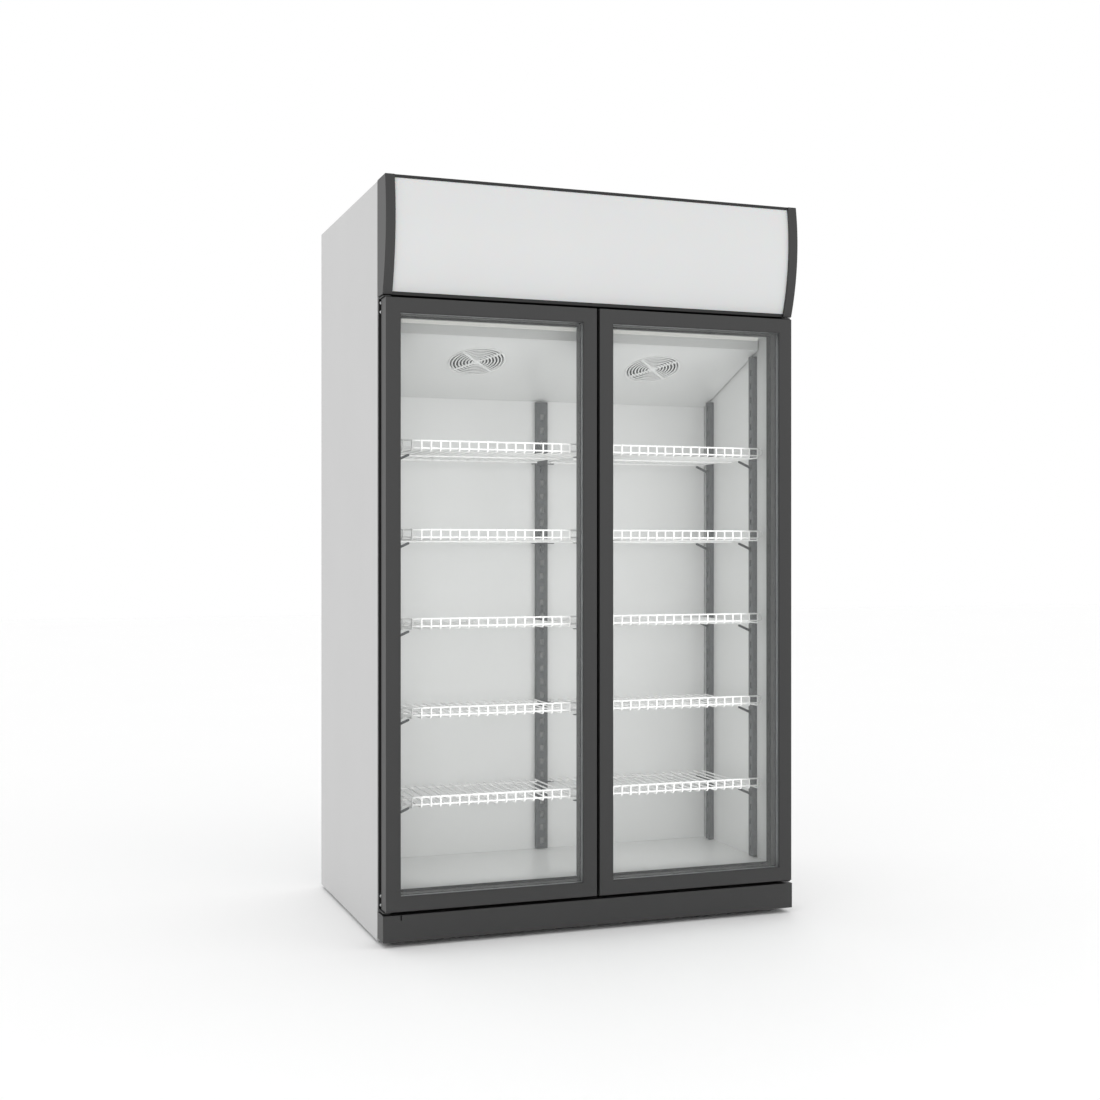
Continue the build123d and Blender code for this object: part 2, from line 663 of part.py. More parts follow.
with BuildPart() as hinge_pins:
    for side in (-1, 1):
        low_plate, high_plate = plate_levels[0][0], plate_levels[1][0] + bracket_sheet
        rod((side * hinge_x, hinge_y, low_plate), (side * hinge_x, hinge_y, door_bottom + pin_reach), pin_radius)
        rod((side * hinge_x, hinge_y, door_top - pin_reach), (side * hinge_x, hinge_y, high_plate), pin_radius)
save(hinge_pins, "hinge_pins")

with BuildPart() as hinge_screws:
    screw_x = (leg_outer + leg_inner) / 2
    head_y = surround_y - sheet_joint - bracket_sheet - screw_head
    for side in (-1, 1):
        for plate_z, leg_way in plate_levels:
            for reach in (12.0, 12.0 + screw_spacing):
                z = plate_z + reach if leg_way > 0 else plate_z + bracket_sheet - reach
                rod((side * screw_x, head_y, z), (side * screw_x, head_y + screw_head, z), screw_head_radius)
save(hinge_screws, "hinge_screws")

# ================================================================ sign canopy
bow_y = front_y - canopy_projection + canopy_radius
bow_z = overall_height - canopy_bow_drop


def bow_front(z, inset=0.0):
    """How far forward the canopy's bowed front stands at a height."""
    return bow_y - sqrt((canopy_radius - inset) ** 2 - (z - bow_z) ** 2)


canopy_back_y = front_y - sheet_joint
for side, side_name in ((-1, "left"), (1, "right")):
    with BuildPart() as end_cap:
        start = -half_width if side < 0 else half_width - cap_width
        with BuildSketch(Plane.YZ.offset(start)) as cap_outline:
            with BuildLine():
                top_front = (bow_front(overall_height), overall_height)
                low_front = (bow_front(canopy_bottom), canopy_bottom)
                ThreePointArc(low_front, (bow_front(bow_z), bow_z), top_front)
                Polyline(top_front, (canopy_back_y, overall_height), (canopy_back_y, canopy_bottom), low_front)
            make_face()
        extrude(amount=cap_width)
    save(end_cap, f"canopy_end_cap_{side_name}")

rail_half = half_width - cap_width - sheet_joint
sign_low = canopy_bottom + trim_below
sign_high = overall_height - trim_above
trim_inset = 4.0
with BuildPart() as canopy_rails:
    block((-rail_half, rail_half), (bow_front(overall_height, trim_inset), canopy_back_y),
          (overall_height - trim_sheet, overall_height))
    block((-rail_half, rail_half),
          (bow_front(overall_height, trim_inset), bow_front(overall_height, trim_inset) + trim_sheet + 9.0),
          (sign_high, overall_height))
    block((-rail_half, rail_half), (bow_front(canopy_bottom, trim_inset), canopy_back_y),
          (canopy_bottom, canopy_bottom + trim_sheet))
    block((-rail_half, rail_half),
          (bow_front(canopy_bottom, trim_inset), bow_front(canopy_bottom, trim_inset) + trim_sheet + 9.0),
          (canopy_bottom, sign_low))
save(canopy_rails, "canopy_rails")

with BuildPart() as sign_panel:
    with BuildSketch(Plane.YZ.offset(-rail_half)) as sign_outline:
        with BuildLine():
            low, high = sign_low + sheet_joint, sign_high - sheet_joint
            inner = sign_inset + sign_sheet
            outer_arc = ThreePointArc((bow_front(low, sign_inset), low), (bow_front(bow_z, sign_inset), bow_z),
                                      (bow_front(high, sign_inset), high))
            inner_arc = ThreePointArc((bow_front(low, inner), low), (bow_front(bow_z, inner), bow_z),
                                      (bow_front(high, inner), high))
            Line(outer_arc @ 0, inner_arc @ 0)
            Line(outer_arc @ 1, inner_arc @ 1)
        make_face()
    extrude(amount=2 * rail_half)
save(sign_panel, "sign_panel")

with BuildPart() as canopy_tray:
    block((-rail_half, rail_half), (canopy_back_y - kick_sheet, canopy_back_y),
          (canopy_bottom + trim_sheet + sheet_joint, overall_height - trim_sheet - sheet_joint))
    for share in (0.28, 0.74):
        z = canopy_bottom + share * canopy_height
        for x in (-rail_half + 30.0, rail_half - 30.0):
            block((x - 8.0, x + 8.0), (canopy_back_y - 34.0, canopy_back_y), (z - 16.0, z + 16.0))
save(canopy_tray, "canopy_tray")

with BuildPart() as led_lamps:
    lamp_y = canopy_back_y - 34.0 - lamp_radius - sheet_joint
    for share in (0.28, 0.74):
        z = canopy_bottom + share * canopy_height
        rod((-rail_half + 20.0, lamp_y, z), (rail_half - 20.0, lamp_y, z), lamp_radius)
    block((-inner_half + 20.0, inner_half - 20.0), (mullion_rear + 2.0, mullion_rear + 12.0),
          (ceiling_z - 8.0, ceiling_z - sheet_joint))
save(led_lamps, "led_lamps")

# ================================================================ cooling unit
def fan_plane(x, slope_distance):
    """Plane across a fan's axis, at the cover's upper face."""
    centre = cover_plane.from_local_coords((x, slope_distance, 0))
    return Plane(origin=centre, x_dir=(1, 0, 0), z_dir=cover_plane.z_dir)


def wheel(plane, radius, hub_length):
    """Fan wheel: a bored hub and pitched blades on a plane across its axis."""
    with BuildPart(plane) as made:
        Cylinder(fan_hub_radius, hub_length, align=(Align.CENTER, Align.CENTER, Align.MIN))
        for turn in range(fan_blades):
            angle = 360.0 / fan_blades * turn
            span = radius - fan_hub_radius + 4.0
            with Locations(Location((0, 0, hub_length / 2), (0, 0, angle))):
                with Locations(Location((fan_hub_radius + span / 2 - 4.0, 0, 0), (blade_pitch_angle, 0, 0))):
                    Box(span, radius * 0.42, blade_sheet)
        Cylinder(shaft_radius + shaft_fit, hub_length, align=(Align.CENTER, Align.CENTER, Align.MIN),
                 mode=Mode.SUBTRACT)
    return made


def motor(plane, hub_length, arm_reach, arm_drop):
    """Fan motor behind its wheel: shaft, can and a three-armed bracket that reaches past the wheel."""
    with BuildPart(plane) as made:
        Cylinder(shaft_radius, hub_length + 6.0, align=(Align.CENTER, Align.CENTER, Align.MIN))
        with Locations((0, 0, hub_length + 4.0)):
            Cylinder(motor_radius, motor_length, align=(Align.CENTER, Align.CENTER, Align.MIN))
        for turn in range(3):
            with Locations(Location((0, 0, 0), (0, 0, 90 + 120 * turn))):
                with Locations((arm_reach / 2, 0, hub_length + 10.0)):
                    Box(arm_reach, arm_width, 3.0)
                leg_top = hub_length + 11.5
                with Locations((arm_reach - 1.5, 0, (leg_top - arm_drop) / 2)):
                    Box(3.0, arm_width, leg_top + arm_drop)
    return made


fan_start = fan_lift + cover_sheet
for (x, distance), side_name in zip(fan_places, ("left", "right")):
    evaporator_fan = wheel(fan_plane(x, distance).offset(fan_start), fan_hole_radius - blade_clearance,
                           fan_hub_length)
    save(evaporator_fan, f"evaporator_fan_{side_name}")

condenser_x = 150.0
condenser_z = (deck_z + panel_top) / 2
condenser_y = front_y + 70.0
condenser_half = 190.0
condenser_depth = 44.0
condenser_low = deck_z + 8.0
condenser_high = panel_top - 22.0
shroud_y = condenser_y + condenser_depth + 2.0
shroud_depth = 30.0
condenser_plane = Plane(origin=(condenser_x, shroud_y + shroud_depth - 18.0, condenser_z), x_dir=(1, 0, 0),
                        z_dir=(0, 1, 0))

save(wheel(condenser_plane, condenser_fan_radius - blade_clearance, fan_hub_length), "condenser_fan")

with BuildPart() as fan_motors:
    for x, distance in fan_places:
        add(motor(fan_plane(x, distance).offset(fan_start), fan_hub_length, fan_hole_radius + 6.0,
                  fan_lift - sheet_joint).part)
    add(motor(condenser_plane, fan_hub_length, condenser_fan_radius + 12.0, -18.4).part)
save(fan_motors, "fan_motors")

with BuildPart() as condenser_shroud:
    block((condenser_x - condenser_half, condenser_x + condenser_half), (shroud_y, shroud_y + shroud_depth),
          (condenser_low, condenser_high))
    block((condenser_x - condenser_half + 1.5, condenser_x + condenser_half - 1.5),
          (shroud_y, shroud_y + shroud_depth - 1.5), (condenser_low + 1.5, condenser_high - 1.5), Mode.SUBTRACT)
    rod((condenser_x, shroud_y, condenser_z), (condenser_x, shroud_y + shroud_depth, condenser_z),
        condenser_fan_radius, Mode.SUBTRACT)
save(condenser_shroud, "condenser_shroud")


def finned_coil(x_span, y_span, z_span, tube_rows):
    """Finned coil: tubes along X with fins across them and one return header at each end."""
    fins = int((x_span[1] - x_span[0]) // fin_pitch)
    step = (x_span[1] - x_span[0] - fin_sheet) / fins
    with BuildPart() as made:
        with Locations(*[(x_span[0] + fin * step, y_span[0], z_span[0]) for fin in range(fins + 1)]):
            Box(fin_sheet, y_span[1] - y_span[0], z_span[1] - z_span[0], align=(Align.MIN,) * 3)
        for y, z in tube_rows:
            rod((x_span[0] - 8.0, y, z), (x_span[1] + 8.0, y, z), coil_tube_radius)
    return made


condenser_tubes = [(condenser_y + condenser_depth / 2, condenser_low + 24.0 + 36.0 * row)
                   for row in range(int((condenser_high - condenser_low - 40.0) // 36.0) + 1)]
save(finned_coil((condenser_x - condenser_half + 10.0, condenser_x + condenser_half - 10.0),
                 (condenser_y, condenser_y + condenser_depth), (condenser_low, condenser_high),
                 condenser_tubes), "condenser_coil")

coil_y = duct_y + 70.0
coil_depth = 120.0
coil_low = cover_low_z - 60.0
coil_high = ceiling_z - 20.0
evaporator_half = inner_half - 130.0
evaporator_tubes = [(y, coil_low + 24.0 + 44.0 * row)
                    for y in (coil_y + 30.0, coil_y + 90.0)
                    for row in range(int((coil_high - coil_low - 40.0) // 44.0) + 1)]
save(finned_coil((-evaporator_half, evaporator_half), (coil_y, coil_y + coil_depth), (coil_low, coil_high),
                 evaporator_tubes), "evaporator_coil")

tray_low = coil_low - 42.0
with BuildPart() as drain_tray:
    block((-evaporator_half - 20.0, evaporator_half + 20.0), (coil_y - 12.0, coil_y + coil_depth + 12.0),
          (tray_low, coil_low - 8.0))
    block((-evaporator_half - 18.5, evaporator_half + 18.5), (coil_y - 10.5, coil_y + coil_depth + 10.5),
          (tray_low + 1.5, coil_low - 8.0), Mode.SUBTRACT)
    drain_y = coil_y + coil_depth / 2
    rod((0, drain_y, tray_low - 60.0), (0, drain_y, tray_low), 10.0)
    rod((0, drain_y, tray_low - 60.0), (0, drain_y, tray_low + 1.5), 8.0, Mode.SUBTRACT)
save(drain_tray, "drain_tray")

compressor_x = -inner_half + 215.0
compressor_y = rear_y - 200.0
compressor_foot = deck_z + 18.0
with BuildPart() as compressor:
    with BuildSketch(Plane.XY.offset(compressor_foot)) as compressor_outline:
        with Locations((compressor_x, compressor_y)):
            Circle(compressor_radius)
    extrude(amount=compressor_height)
    fillet(compressor.edges().filter_by(GeomType.CIRCLE), radius=30.0)
    block((compressor_x - 105.0, compressor_x + 105.0), (compressor_y - 60.0, compressor_y + 60.0),
          (compressor_foot - 3.0, compressor_foot + 4.0))
    for dx in (-90.0, 90.0):
        for dy in (-45.0, 45.0):
            rod((compressor_x + dx, compressor_y + dy, deck_z), (compressor_x + dx, compressor_y + dy,
                compressor_foot - 3.0), 10.0)
save(compressor, "compressor")

pipe_level = deck_z + 60.0
pipe_routes = (
    ((pipe_x[0], pipe_y, coil_high - 40.0), (pipe_x[0], pipe_y, pipe_level),
     (compressor_x - compressor_radius - 1.0, pipe_y, pipe_level)),
    ((pipe_x[1], pipe_y, coil_high - 40.0), (pipe_x[1], pipe_y, deck_z + 30.0),
     (pipe_x[1], condenser_y + 22.0, deck_z + 30.0),
     (condenser_x - condenser_half - 4.0, condenser_y + 22.0, deck_z + 30.0)),
    ((compressor_x, compressor_y - compressor_radius - 1.0, pipe_level + 40.0),
     (compressor_x, condenser_y + 22.0, pipe_level + 40.0),
     (condenser_x - condenser_half - 4.0, condenser_y + 22.0, pipe_level + 40.0)),
)
with BuildPart() as refrigerant_pipes:
    for route in pipe_routes:
        with BuildLine() as pipe_route:
            FilletPolyline(*route, radius=20.0)
        with BuildSketch(Plane(origin=pipe_route.line @ 0, z_dir=pipe_route.line % 0)) as pipe_section:
            Circle(pipe_radius)
        sweep()
save(refrigerant_pipes, "refrigerant_pipes")

# ---------------------------------------------------------------- controls and power inlet
box_rear = rear_y - sheet - sheet_joint
rocker_half = (14.0, 10.0)
rocker_pivot_y = box_rear - 10.0
rocker_gap = 0.5
with BuildPart() as control_box:
    block((switch_window_x - 110.0, switch_window_x + 40.0), (box_rear - 90.0, box_rear),
          (deck_z, switch_window_z + 60.0))
    block((switch_window_x - rocker_half[0] - rocker_gap, switch_window_x + rocker_half[0] + rocker_gap),
          (box_rear - 24.0, box_rear),
          (switch_window_z - rocker_half[1] - 2.5, switch_window_z + rocker_half[1] + 2.5), Mode.SUBTRACT)
    rod((inlet_x, box_rear - 14.0, switch_window_z), (inlet_x, box_rear, switch_window_z), 8.2, Mode.SUBTRACT)
save(control_box, "control_box")

with BuildPart() as power_switch:
    with BuildSketch(Plane.YZ.offset(switch_window_x - rocker_half[0])) as rocker_outline:
        with BuildLine():
            Polyline((rocker_pivot_y - 8.0, switch_window_z - 5.0), (rocker_pivot_y + 4.0, switch_window_z - rocker_half[1]),
                     (rocker_pivot_y + 8.0, switch_window_z - rocker_half[1]), (rocker_pivot_y + 5.0, switch_window_z),
                     (rocker_pivot_y + 6.0, switch_window_z + rocker_half[1]),
                     (rocker_pivot_y + 2.0, switch_window_z + rocker_half[1]),
                     (rocker_pivot_y - 8.0, switch_window_z + 5.0), close=True)
        make_face()
    extrude(amount=2 * rocker_half[0])
save(power_switch, "power_switch")

with BuildPart() as cable_gland:
    rod((inlet_x, box_rear - 13.0, switch_window_z), (inlet_x, rear_y - sheet, switch_window_z), 8.0)
    rod((inlet_x, rear_y - sheet - sheet_joint, switch_window_z), (inlet_x, rear_y, switch_window_z), 10.0)
    rod((inlet_x, box_rear - 13.0, switch_window_z), (inlet_x, rear_y, switch_window_z), 4.5, Mode.SUBTRACT)
save(cable_gland, "cable_gland")
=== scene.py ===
import json
import math

import bmesh
import bpy
from mathutils import Matrix, Vector


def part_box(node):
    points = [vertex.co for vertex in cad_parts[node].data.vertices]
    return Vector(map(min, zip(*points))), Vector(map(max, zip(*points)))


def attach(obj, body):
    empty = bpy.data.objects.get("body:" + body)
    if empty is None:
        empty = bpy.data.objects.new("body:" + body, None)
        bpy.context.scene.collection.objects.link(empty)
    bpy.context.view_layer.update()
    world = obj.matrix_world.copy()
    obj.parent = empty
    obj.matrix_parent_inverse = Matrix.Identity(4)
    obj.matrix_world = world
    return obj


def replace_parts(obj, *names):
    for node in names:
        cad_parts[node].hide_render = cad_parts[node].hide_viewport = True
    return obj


bl_info = {
    "name": "Glass door merchandiser",
    "version": (1, 0, 0),
    "blender": (4, 5, 0),
    "location": "View3D > Sidebar > Merchandiser",
    "description": "Dresses a two-door glass merchandiser: finishes, wire shelves, grilles, doors and stage",
    "category": "Object",
}

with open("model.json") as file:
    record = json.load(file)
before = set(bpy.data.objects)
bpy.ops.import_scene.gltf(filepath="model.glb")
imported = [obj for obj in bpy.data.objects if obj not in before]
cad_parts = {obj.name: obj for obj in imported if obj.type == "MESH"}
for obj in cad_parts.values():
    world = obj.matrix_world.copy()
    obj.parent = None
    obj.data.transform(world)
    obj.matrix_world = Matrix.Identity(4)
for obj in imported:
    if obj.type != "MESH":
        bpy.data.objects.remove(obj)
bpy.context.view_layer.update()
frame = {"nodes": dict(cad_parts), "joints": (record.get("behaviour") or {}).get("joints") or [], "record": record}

SIDES = ("left", "right")
LEVELS = (1, 2, 3, 4, 5)
MM = 0.001


# ------------------------------------------------------------------ colour and node helpers
def linear(hex_colour):
    """An sRGB hex colour as linear red, green and blue."""
    channels = [int(hex_colour[i:i + 2], 16) / 255 for i in (1, 3, 5)]
    return tuple(c / 12.92 if c <= 0.04045 else ((c + 0.055) / 1.055) ** 2.4 for c in channels)


def add_node(tree, kind, inputs=None, **settings):
    """Adds a node, sets its settings, and gives each named input a value or a link from an output."""
    node = tree.nodes.new(kind)
    for name, value in settings.items():
        setattr(node, name, value)
    for name, value in (inputs or {}).items():
        if isinstance(value, bpy.types.NodeSocket):
            tree.links.new(value, node.inputs[name])
        else:
            node.inputs[name].default_value = value
    return node


class Finish:
    """A material under construction: its tree, its shader and its object coordinates."""

    def __init__(self, name, colour, roughness, metallic=0.0):
        self.material = bpy.data.materials.new(name)
        self.material.use_nodes = True
        self.tree = self.material.node_tree
        self.shader = self.tree.nodes["Principled BSDF"]
        self.colour = tuple(colour)[:3]
        self.shader.inputs["Base Color"].default_value = (*self.colour, 1)
        self.shader.inputs["Roughness"].default_value = roughness
        self.shader.inputs["Metallic"].default_value = metallic
        self.place = add_node(self.tree, "ShaderNodeTexCoord").outputs["Object"]
        self.heights = []

    def stretched(self, stretch):
        """Object coordinates stretched along each axis, for brushed and drawn grain."""
        return add_node(self.tree, "ShaderNodeMapping", {"Vector": self.place, "Scale": stretch}).outputs[0]

    def noise(self, size_mm, detail=2.0, stretch=None):
        """Noise whose features are about size_mm across."""
        place = self.stretched(stretch) if stretch else self.place
        scale = 1.0 / (size_mm * MM)
        return add_node(self.tree, "ShaderNodeTexNoise", {"Vector": place, "Scale": scale, "Detail": detail})

    def mottle(self, factor, amount):
        """Lets the colour drift darker and lighter by an amount along a pattern."""
        dark = tuple(c * (1 - amount) for c in self.colour)
        light = tuple(min(1.0, c * (1 + amount)) for c in self.colour)
        mix = add_node(self.tree, "ShaderNodeMix", data_type="RGBA")
        self.tree.links.new(factor, mix.inputs[0])
        mix.inputs[6].default_value = (*dark, 1)
        mix.inputs[7].default_value = (*light, 1)
        self.tree.links.new(mix.outputs[2], self.shader.inputs["Base Color"])

    def rough_range(self, factor, low, high):
        """Lets roughness vary between two values along a pattern."""
        spread = add_node(self.tree, "ShaderNodeMapRange", {"Value": factor, "To Min": low, "To Max": high})
        self.tree.links.new(spread.outputs[0], self.shader.inputs["Roughness"])

    def relief(self, height, depth_mm, strength=1.0):
        """Adds bump of a real depth."""
        inputs = {"Height": height, "Distance": depth_mm * MM, "Strength": strength}
        if self.heights:
            inputs["Normal"] = self.heights[-1]
        bump = add_node(self.tree, "ShaderNodeBump", inputs)
        self.heights.append(bump.outputs["Normal"])
        self.tree.links.new(bump.outputs["Normal"], self.shader.inputs["Normal"])


# ------------------------------------------------------------------ finishes
def powder_coat(name, colour, roughness):
    """Powder coat on sheet steel: a satin film with a fine orange-peel ripple and faint cloudiness."""
    finish = Finish(name, colour, roughness)
    peel = finish.noise(2.4, 1.0)
    cloud = finish.noise(220, 2.0)
    finish.relief(peel.outputs["Fac"], 0.05)
    finish.mottle(cloud.outputs["Fac"], 0.025)
    finish.rough_range(peel.outputs["Fac"], roughness - 0.05, roughness + 0.06)
    return finish.material


def cabinet_powder_coat(colours):
    """Light grey powder-coated steel of the side and top panels."""
    return powder_coat("powder_coated_steel_light", colours.cabinet, 0.42)


def liner_coating(colours):
    """Pre-coated white steel liner: smooth, with a slight gloss and the wave of thin sheet."""
    finish = Finish("precoated_steel_liner", colours.liner, 0.34)
    wave = finish.noise(140, 1.0)
    film = finish.noise(3.0, 1.0)
    finish.relief(wave.outputs["Fac"], 0.25)
    finish.relief(film.outputs["Fac"], 0.02)
    finish.mottle(wave.outputs["Fac"], 0.02)
    return finish.material


def anodised_frame(colours):
    """Dark anodised extruded aluminium: even grey with faint lines along the extrusion."""
    finish = Finish("anodised_aluminium_dark", colours.frame, 0.44, metallic=0.15)
    lines = finish.noise(2.0, 2.0, stretch=(1.0, 1.0, 0.02))
    grain = finish.noise(1.2, 2.0)
    finish.mottle(lines.outputs["Fac"], 0.02)
    finish.relief(grain.outputs["Fac"], 0.02)
    finish.rough_range(grain.outputs["Fac"], 0.38, 0.52)
    return finish.material


def moulded_plastic(name, colour, roughness, grain_mm=1.5, depth_mm=0.04):
    """Injection-moulded plastic with a spark-eroded texture."""
    finish = Finish(name, colour, roughness)
    grain = finish.noise(grain_mm, 3.0)
    finish.relief(grain.outputs["Fac"], depth_mm)
    finish.mottle(finish.noise(60, 1.0).outputs["Fac"], 0.05)
    finish.rough_range(grain.outputs["Fac"], roughness - 0.06, roughness + 0.08)
    return finish.material


def surround_plastic(colours):
    """Black co-extruded PVC surround around the cabinet's mouth, its near-black partly the PVC's own colour and
    partly painted shade of the recessed gaps round the doors.
    """
    # Partly painted shade: #141414 is set as dark as the shadow gap between the side panels and the doors.
    return moulded_plastic("extruded_pvc_black_and_painted_shade", linear("#141414"), 0.5)


def insulation_foam(colours):
    """Blown polyurethane foam: pale, matt and full of small cells."""
    finish = Finish("polyurethane_foam", linear("#E0CE96"), 0.9)
    cells = add_node(finish.tree, "ShaderNodeTexVoronoi", {"Vector": finish.place, "Scale": 1 / (4 * MM)})
    finish.relief(cells.outputs["Distance"], 0.6)
    finish.mottle(cells.outputs["Distance"], 0.12)
    return finish.material


def galvanised_sheet(colours):
    """Hot-dip galvanised sheet: patches of spangle with different shine."""
    finish = Finish("galvanised_steel_sheet", linear("#A9ACAE"), 0.4, metallic=1.0)
    spangle = add_node(finish.tree, "ShaderNodeTexVoronoi", {"Vector": finish.place, "Scale": 1 / (11 * MM)})
    tone = add_node(finish.tree, "ShaderNodeSeparateColor", {"Color": spangle.outputs["Color"]}).outputs[0]
    finish.mottle(tone, 0.10)
    finish.rough_range(tone, 0.30, 0.5)
    finish.relief(finish.noise(5, 2.0).outputs["Fac"], 0.04)
    return finish.material


def plated_standard(colours):
    """Zinc-nickel plated shelf standards: dull mid grey, drawn along their length."""
    finish = Finish("zinc_plated_strip", linear("#4A4C4E"), 0.55, metallic=0.1)
    drawn = finish.noise(1.6, 2.0, stretch=(1.0, 1.0, 0.03))
    finish.mottle(drawn.outputs["Fac"], 0.04)
    finish.relief(drawn.outputs["Fac"], 0.02)
    return finish.material


def dipped_wire(colours):
    """PVC-dipped steel wire: a thick glossy white skin, slightly wavy where it ran."""
    finish = Finish("pvc_dipped_wire_white", linear("#FCFCFB"), 0.26)
    runs = finish.noise(9, 2.0)
    finish.relief(runs.outputs["Fac"], 0.15)
    finish.mottle(runs.outputs["Fac"], 0.03)
    finish.shader.inputs["Coat Weight"].default_value = 0.3
    finish.shader.inputs["Coat Roughness"].default_value = 0.15
    return finish.material


def zinc_plate(name, hex_colour, roughness):
    """Bright zinc plate: silvery, with a fine drifting haze."""
    finish = Finish(name, linear(hex_colour), roughness, metallic=1.0)
    haze = finish.noise(14, 3.0)
    finish.mottle(haze.outputs["Fac"], 0.08)
    finish.rough_range(haze.outputs["Fac"], roughness - 0.08, roughness + 0.12)
    finish.relief(finish.noise(0.9, 1.0).outputs["Fac"], 0.02)
    return finish.material


def clip_plate(colours):
    """Zinc-plated pressed clips, duller than the screws."""
    return zinc_plate("zinc_plated_pressing", "#4C4E50", 0.45)


def bright_plate(colours):
    """Bright zinc plate on pins, screws and feet."""
    return zinc_plate("zinc_plated_steel", "#C3C5C6", 0.28)


def float_glass(colours):
    """Clear float glass with a faint green cast; its reflection grows towards grazing, partly the shader's own
    specular and partly painted reflection from the near-white colour turning opaque.
    """
    finish = Finish("float_glass_clear", linear("#F3F6F5"), 0.02)
    # Painted reflection: the Fresnel factor, mapped to 0 to 0.8, drives the alpha, so the near-white base colour
    # grows opaque towards grazing in place of a reflection.
    grazing = add_node(finish.tree, "ShaderNodeFresnel", {"IOR": 1.5})
    limits = {"Value": grazing.outputs[0], "To Min": 0.0, "To Max": 0.8}
    painted_reflection_alpha = add_node(finish.tree, "ShaderNodeMapRange", limits)
    finish.tree.links.new(painted_reflection_alpha.outputs[0], finish.shader.inputs["Alpha"])
    film = finish.noise(400, 1.0)
    finish.rough_range(film.outputs["Fac"], 0.01, 0.04)
    finish.material.surface_render_method = "BLENDED"
    return finish.material


def spacer_bar(colours):
    """Roll-formed aluminium spacer between the panes, with a row of breather dots."""
    finish = Finish("roll_formed_aluminium", linear("#8E9092"), 0.45, metallic=0.5)
    dots = add_node(finish.tree, "ShaderNodeTexVoronoi", {"Vector": finish.place, "Scale": 1 / (3 * MM)})
    finish.relief(dots.outputs["Distance"], 0.08)
    finish.mottle(finish.noise(20, 1.0).outputs["Fac"], 0.05)
    return finish.material


def soft_gasket(colours):
    """Extruded soft PVC gasket: black, slightly dusty, with fine lengthwise lines."""
    finish = Finish("soft_pvc_gasket", linear("#1A1A1B"), 0.6)
    dust = finish.noise(30, 3.0)
    finish.mottle(dust.outputs["Fac"], 0.25)
    finish.relief(finish.noise(1.0, 1.0).outputs["Fac"], 0.05)
    finish.rough_range(dust.outputs["Fac"], 0.52, 0.7)
    return finish.material


def opal_acrylic(colours):
    """Opal acrylic sign sheet: milky, softly glossy, with a faint glow from the tubes behind."""
    finish = Finish("opal_acrylic_sheet", colours.sign, 0.3)
    haze = finish.noise(300, 1.0)
    finish.mottle(haze.outputs["Fac"], 0.012)
    finish.relief(haze.outputs["Fac"], 0.3)
    finish.rough_range(haze.outputs["Fac"], 0.26, 0.34)
    finish.shader.inputs["Subsurface Weight"].default_value = 0.15
    finish.shader.inputs["Subsurface Scale"].default_value = 3 * MM
    return finish.material


def lamp_diffuser(colours):
    """Frosted polycarbonate over the lamps: white and gently lit."""
    finish = Finish("frosted_polycarbonate_lamp", linear("#F7F7F2"), 0.4)
    frost = finish.noise(1.0, 1.0)
    finish.relief(frost.outputs["Fac"], 0.03)
    finish.mottle(frost.outputs["Fac"], 0.02)
    finish.shader.inputs["Emission Color"].default_value = (1.0, 0.99, 0.96, 1)
    finish.shader.inputs["Emission Strength"].default_value = colours.lamp_strength
    return finish.material


def fan_moulding(colours):
    """Black moulded polypropylene fan wheels."""
    return moulded_plastic("moulded_polypropylene_black", linear("#1C1C1D"), 0.48)


def guard_moulding(colours):
    """White moulded ABS fan guards."""
    return moulded_plastic("moulded_abs_white", linear("#F2F3F2"), 0.4)


def bracket_coat(colours):
    """Black powder coat on the hinge brackets, partly their own black and partly painted shade of the gap between
    canopy and doors.
    """
    # Partly painted shade: near-black #121212, set as dark as the shaded gap the brackets sit in.
    return powder_coat("powder_coat_black_and_painted_shade", linear("#121212"), 0.4)


def motor_enamel(colours):
    """Baked enamel on the motor cans."""
    return powder_coat("baked_enamel_grey", linear("#46494B"), 0.38)


def compressor_enamel(colours):
    """Thick black enamel on the compressor's pressed shell."""
    return powder_coat("brushed_enamel_black", linear("#0C0C0D"), 0.25)


def fin_stock(colours):
    """Bare aluminium fin stock, thin and bright with a slight ripple."""
    finish = Finish("aluminium_fin_stock", linear("#C9CBCC"), 0.34, metallic=1.0)
    ripple = finish.noise(6, 2.0)
    finish.relief(ripple.outputs["Fac"], 0.1)
    finish.mottle(ripple.outputs["Fac"], 0.06)
    return finish.material


def drawn_copper(colours):
    """Drawn copper tube, browned in patches by handling and brazing."""
    finish = Finish("drawn_copper_tube", linear("#B8734D"), 0.3, metallic=1.0)
    browning = finish.noise(35, 3.0)
    finish.mottle(browning.outputs["Fac"], 0.25)
    finish.rough_range(browning.outputs["Fac"], 0.22, 0.42)
    return finish.material


def control_moulding(colours):
    """Grey moulded polycarbonate control box."""
    return moulded_plastic("moulded_polycarbonate_grey", linear("#707375"), 0.45)


def switch_moulding(colours):
    """Glossy black nylon of the rocker and the gland."""
    return moulded_plastic("moulded_nylon_black", linear("#101011"), 0.25, 2.0, 0.02)


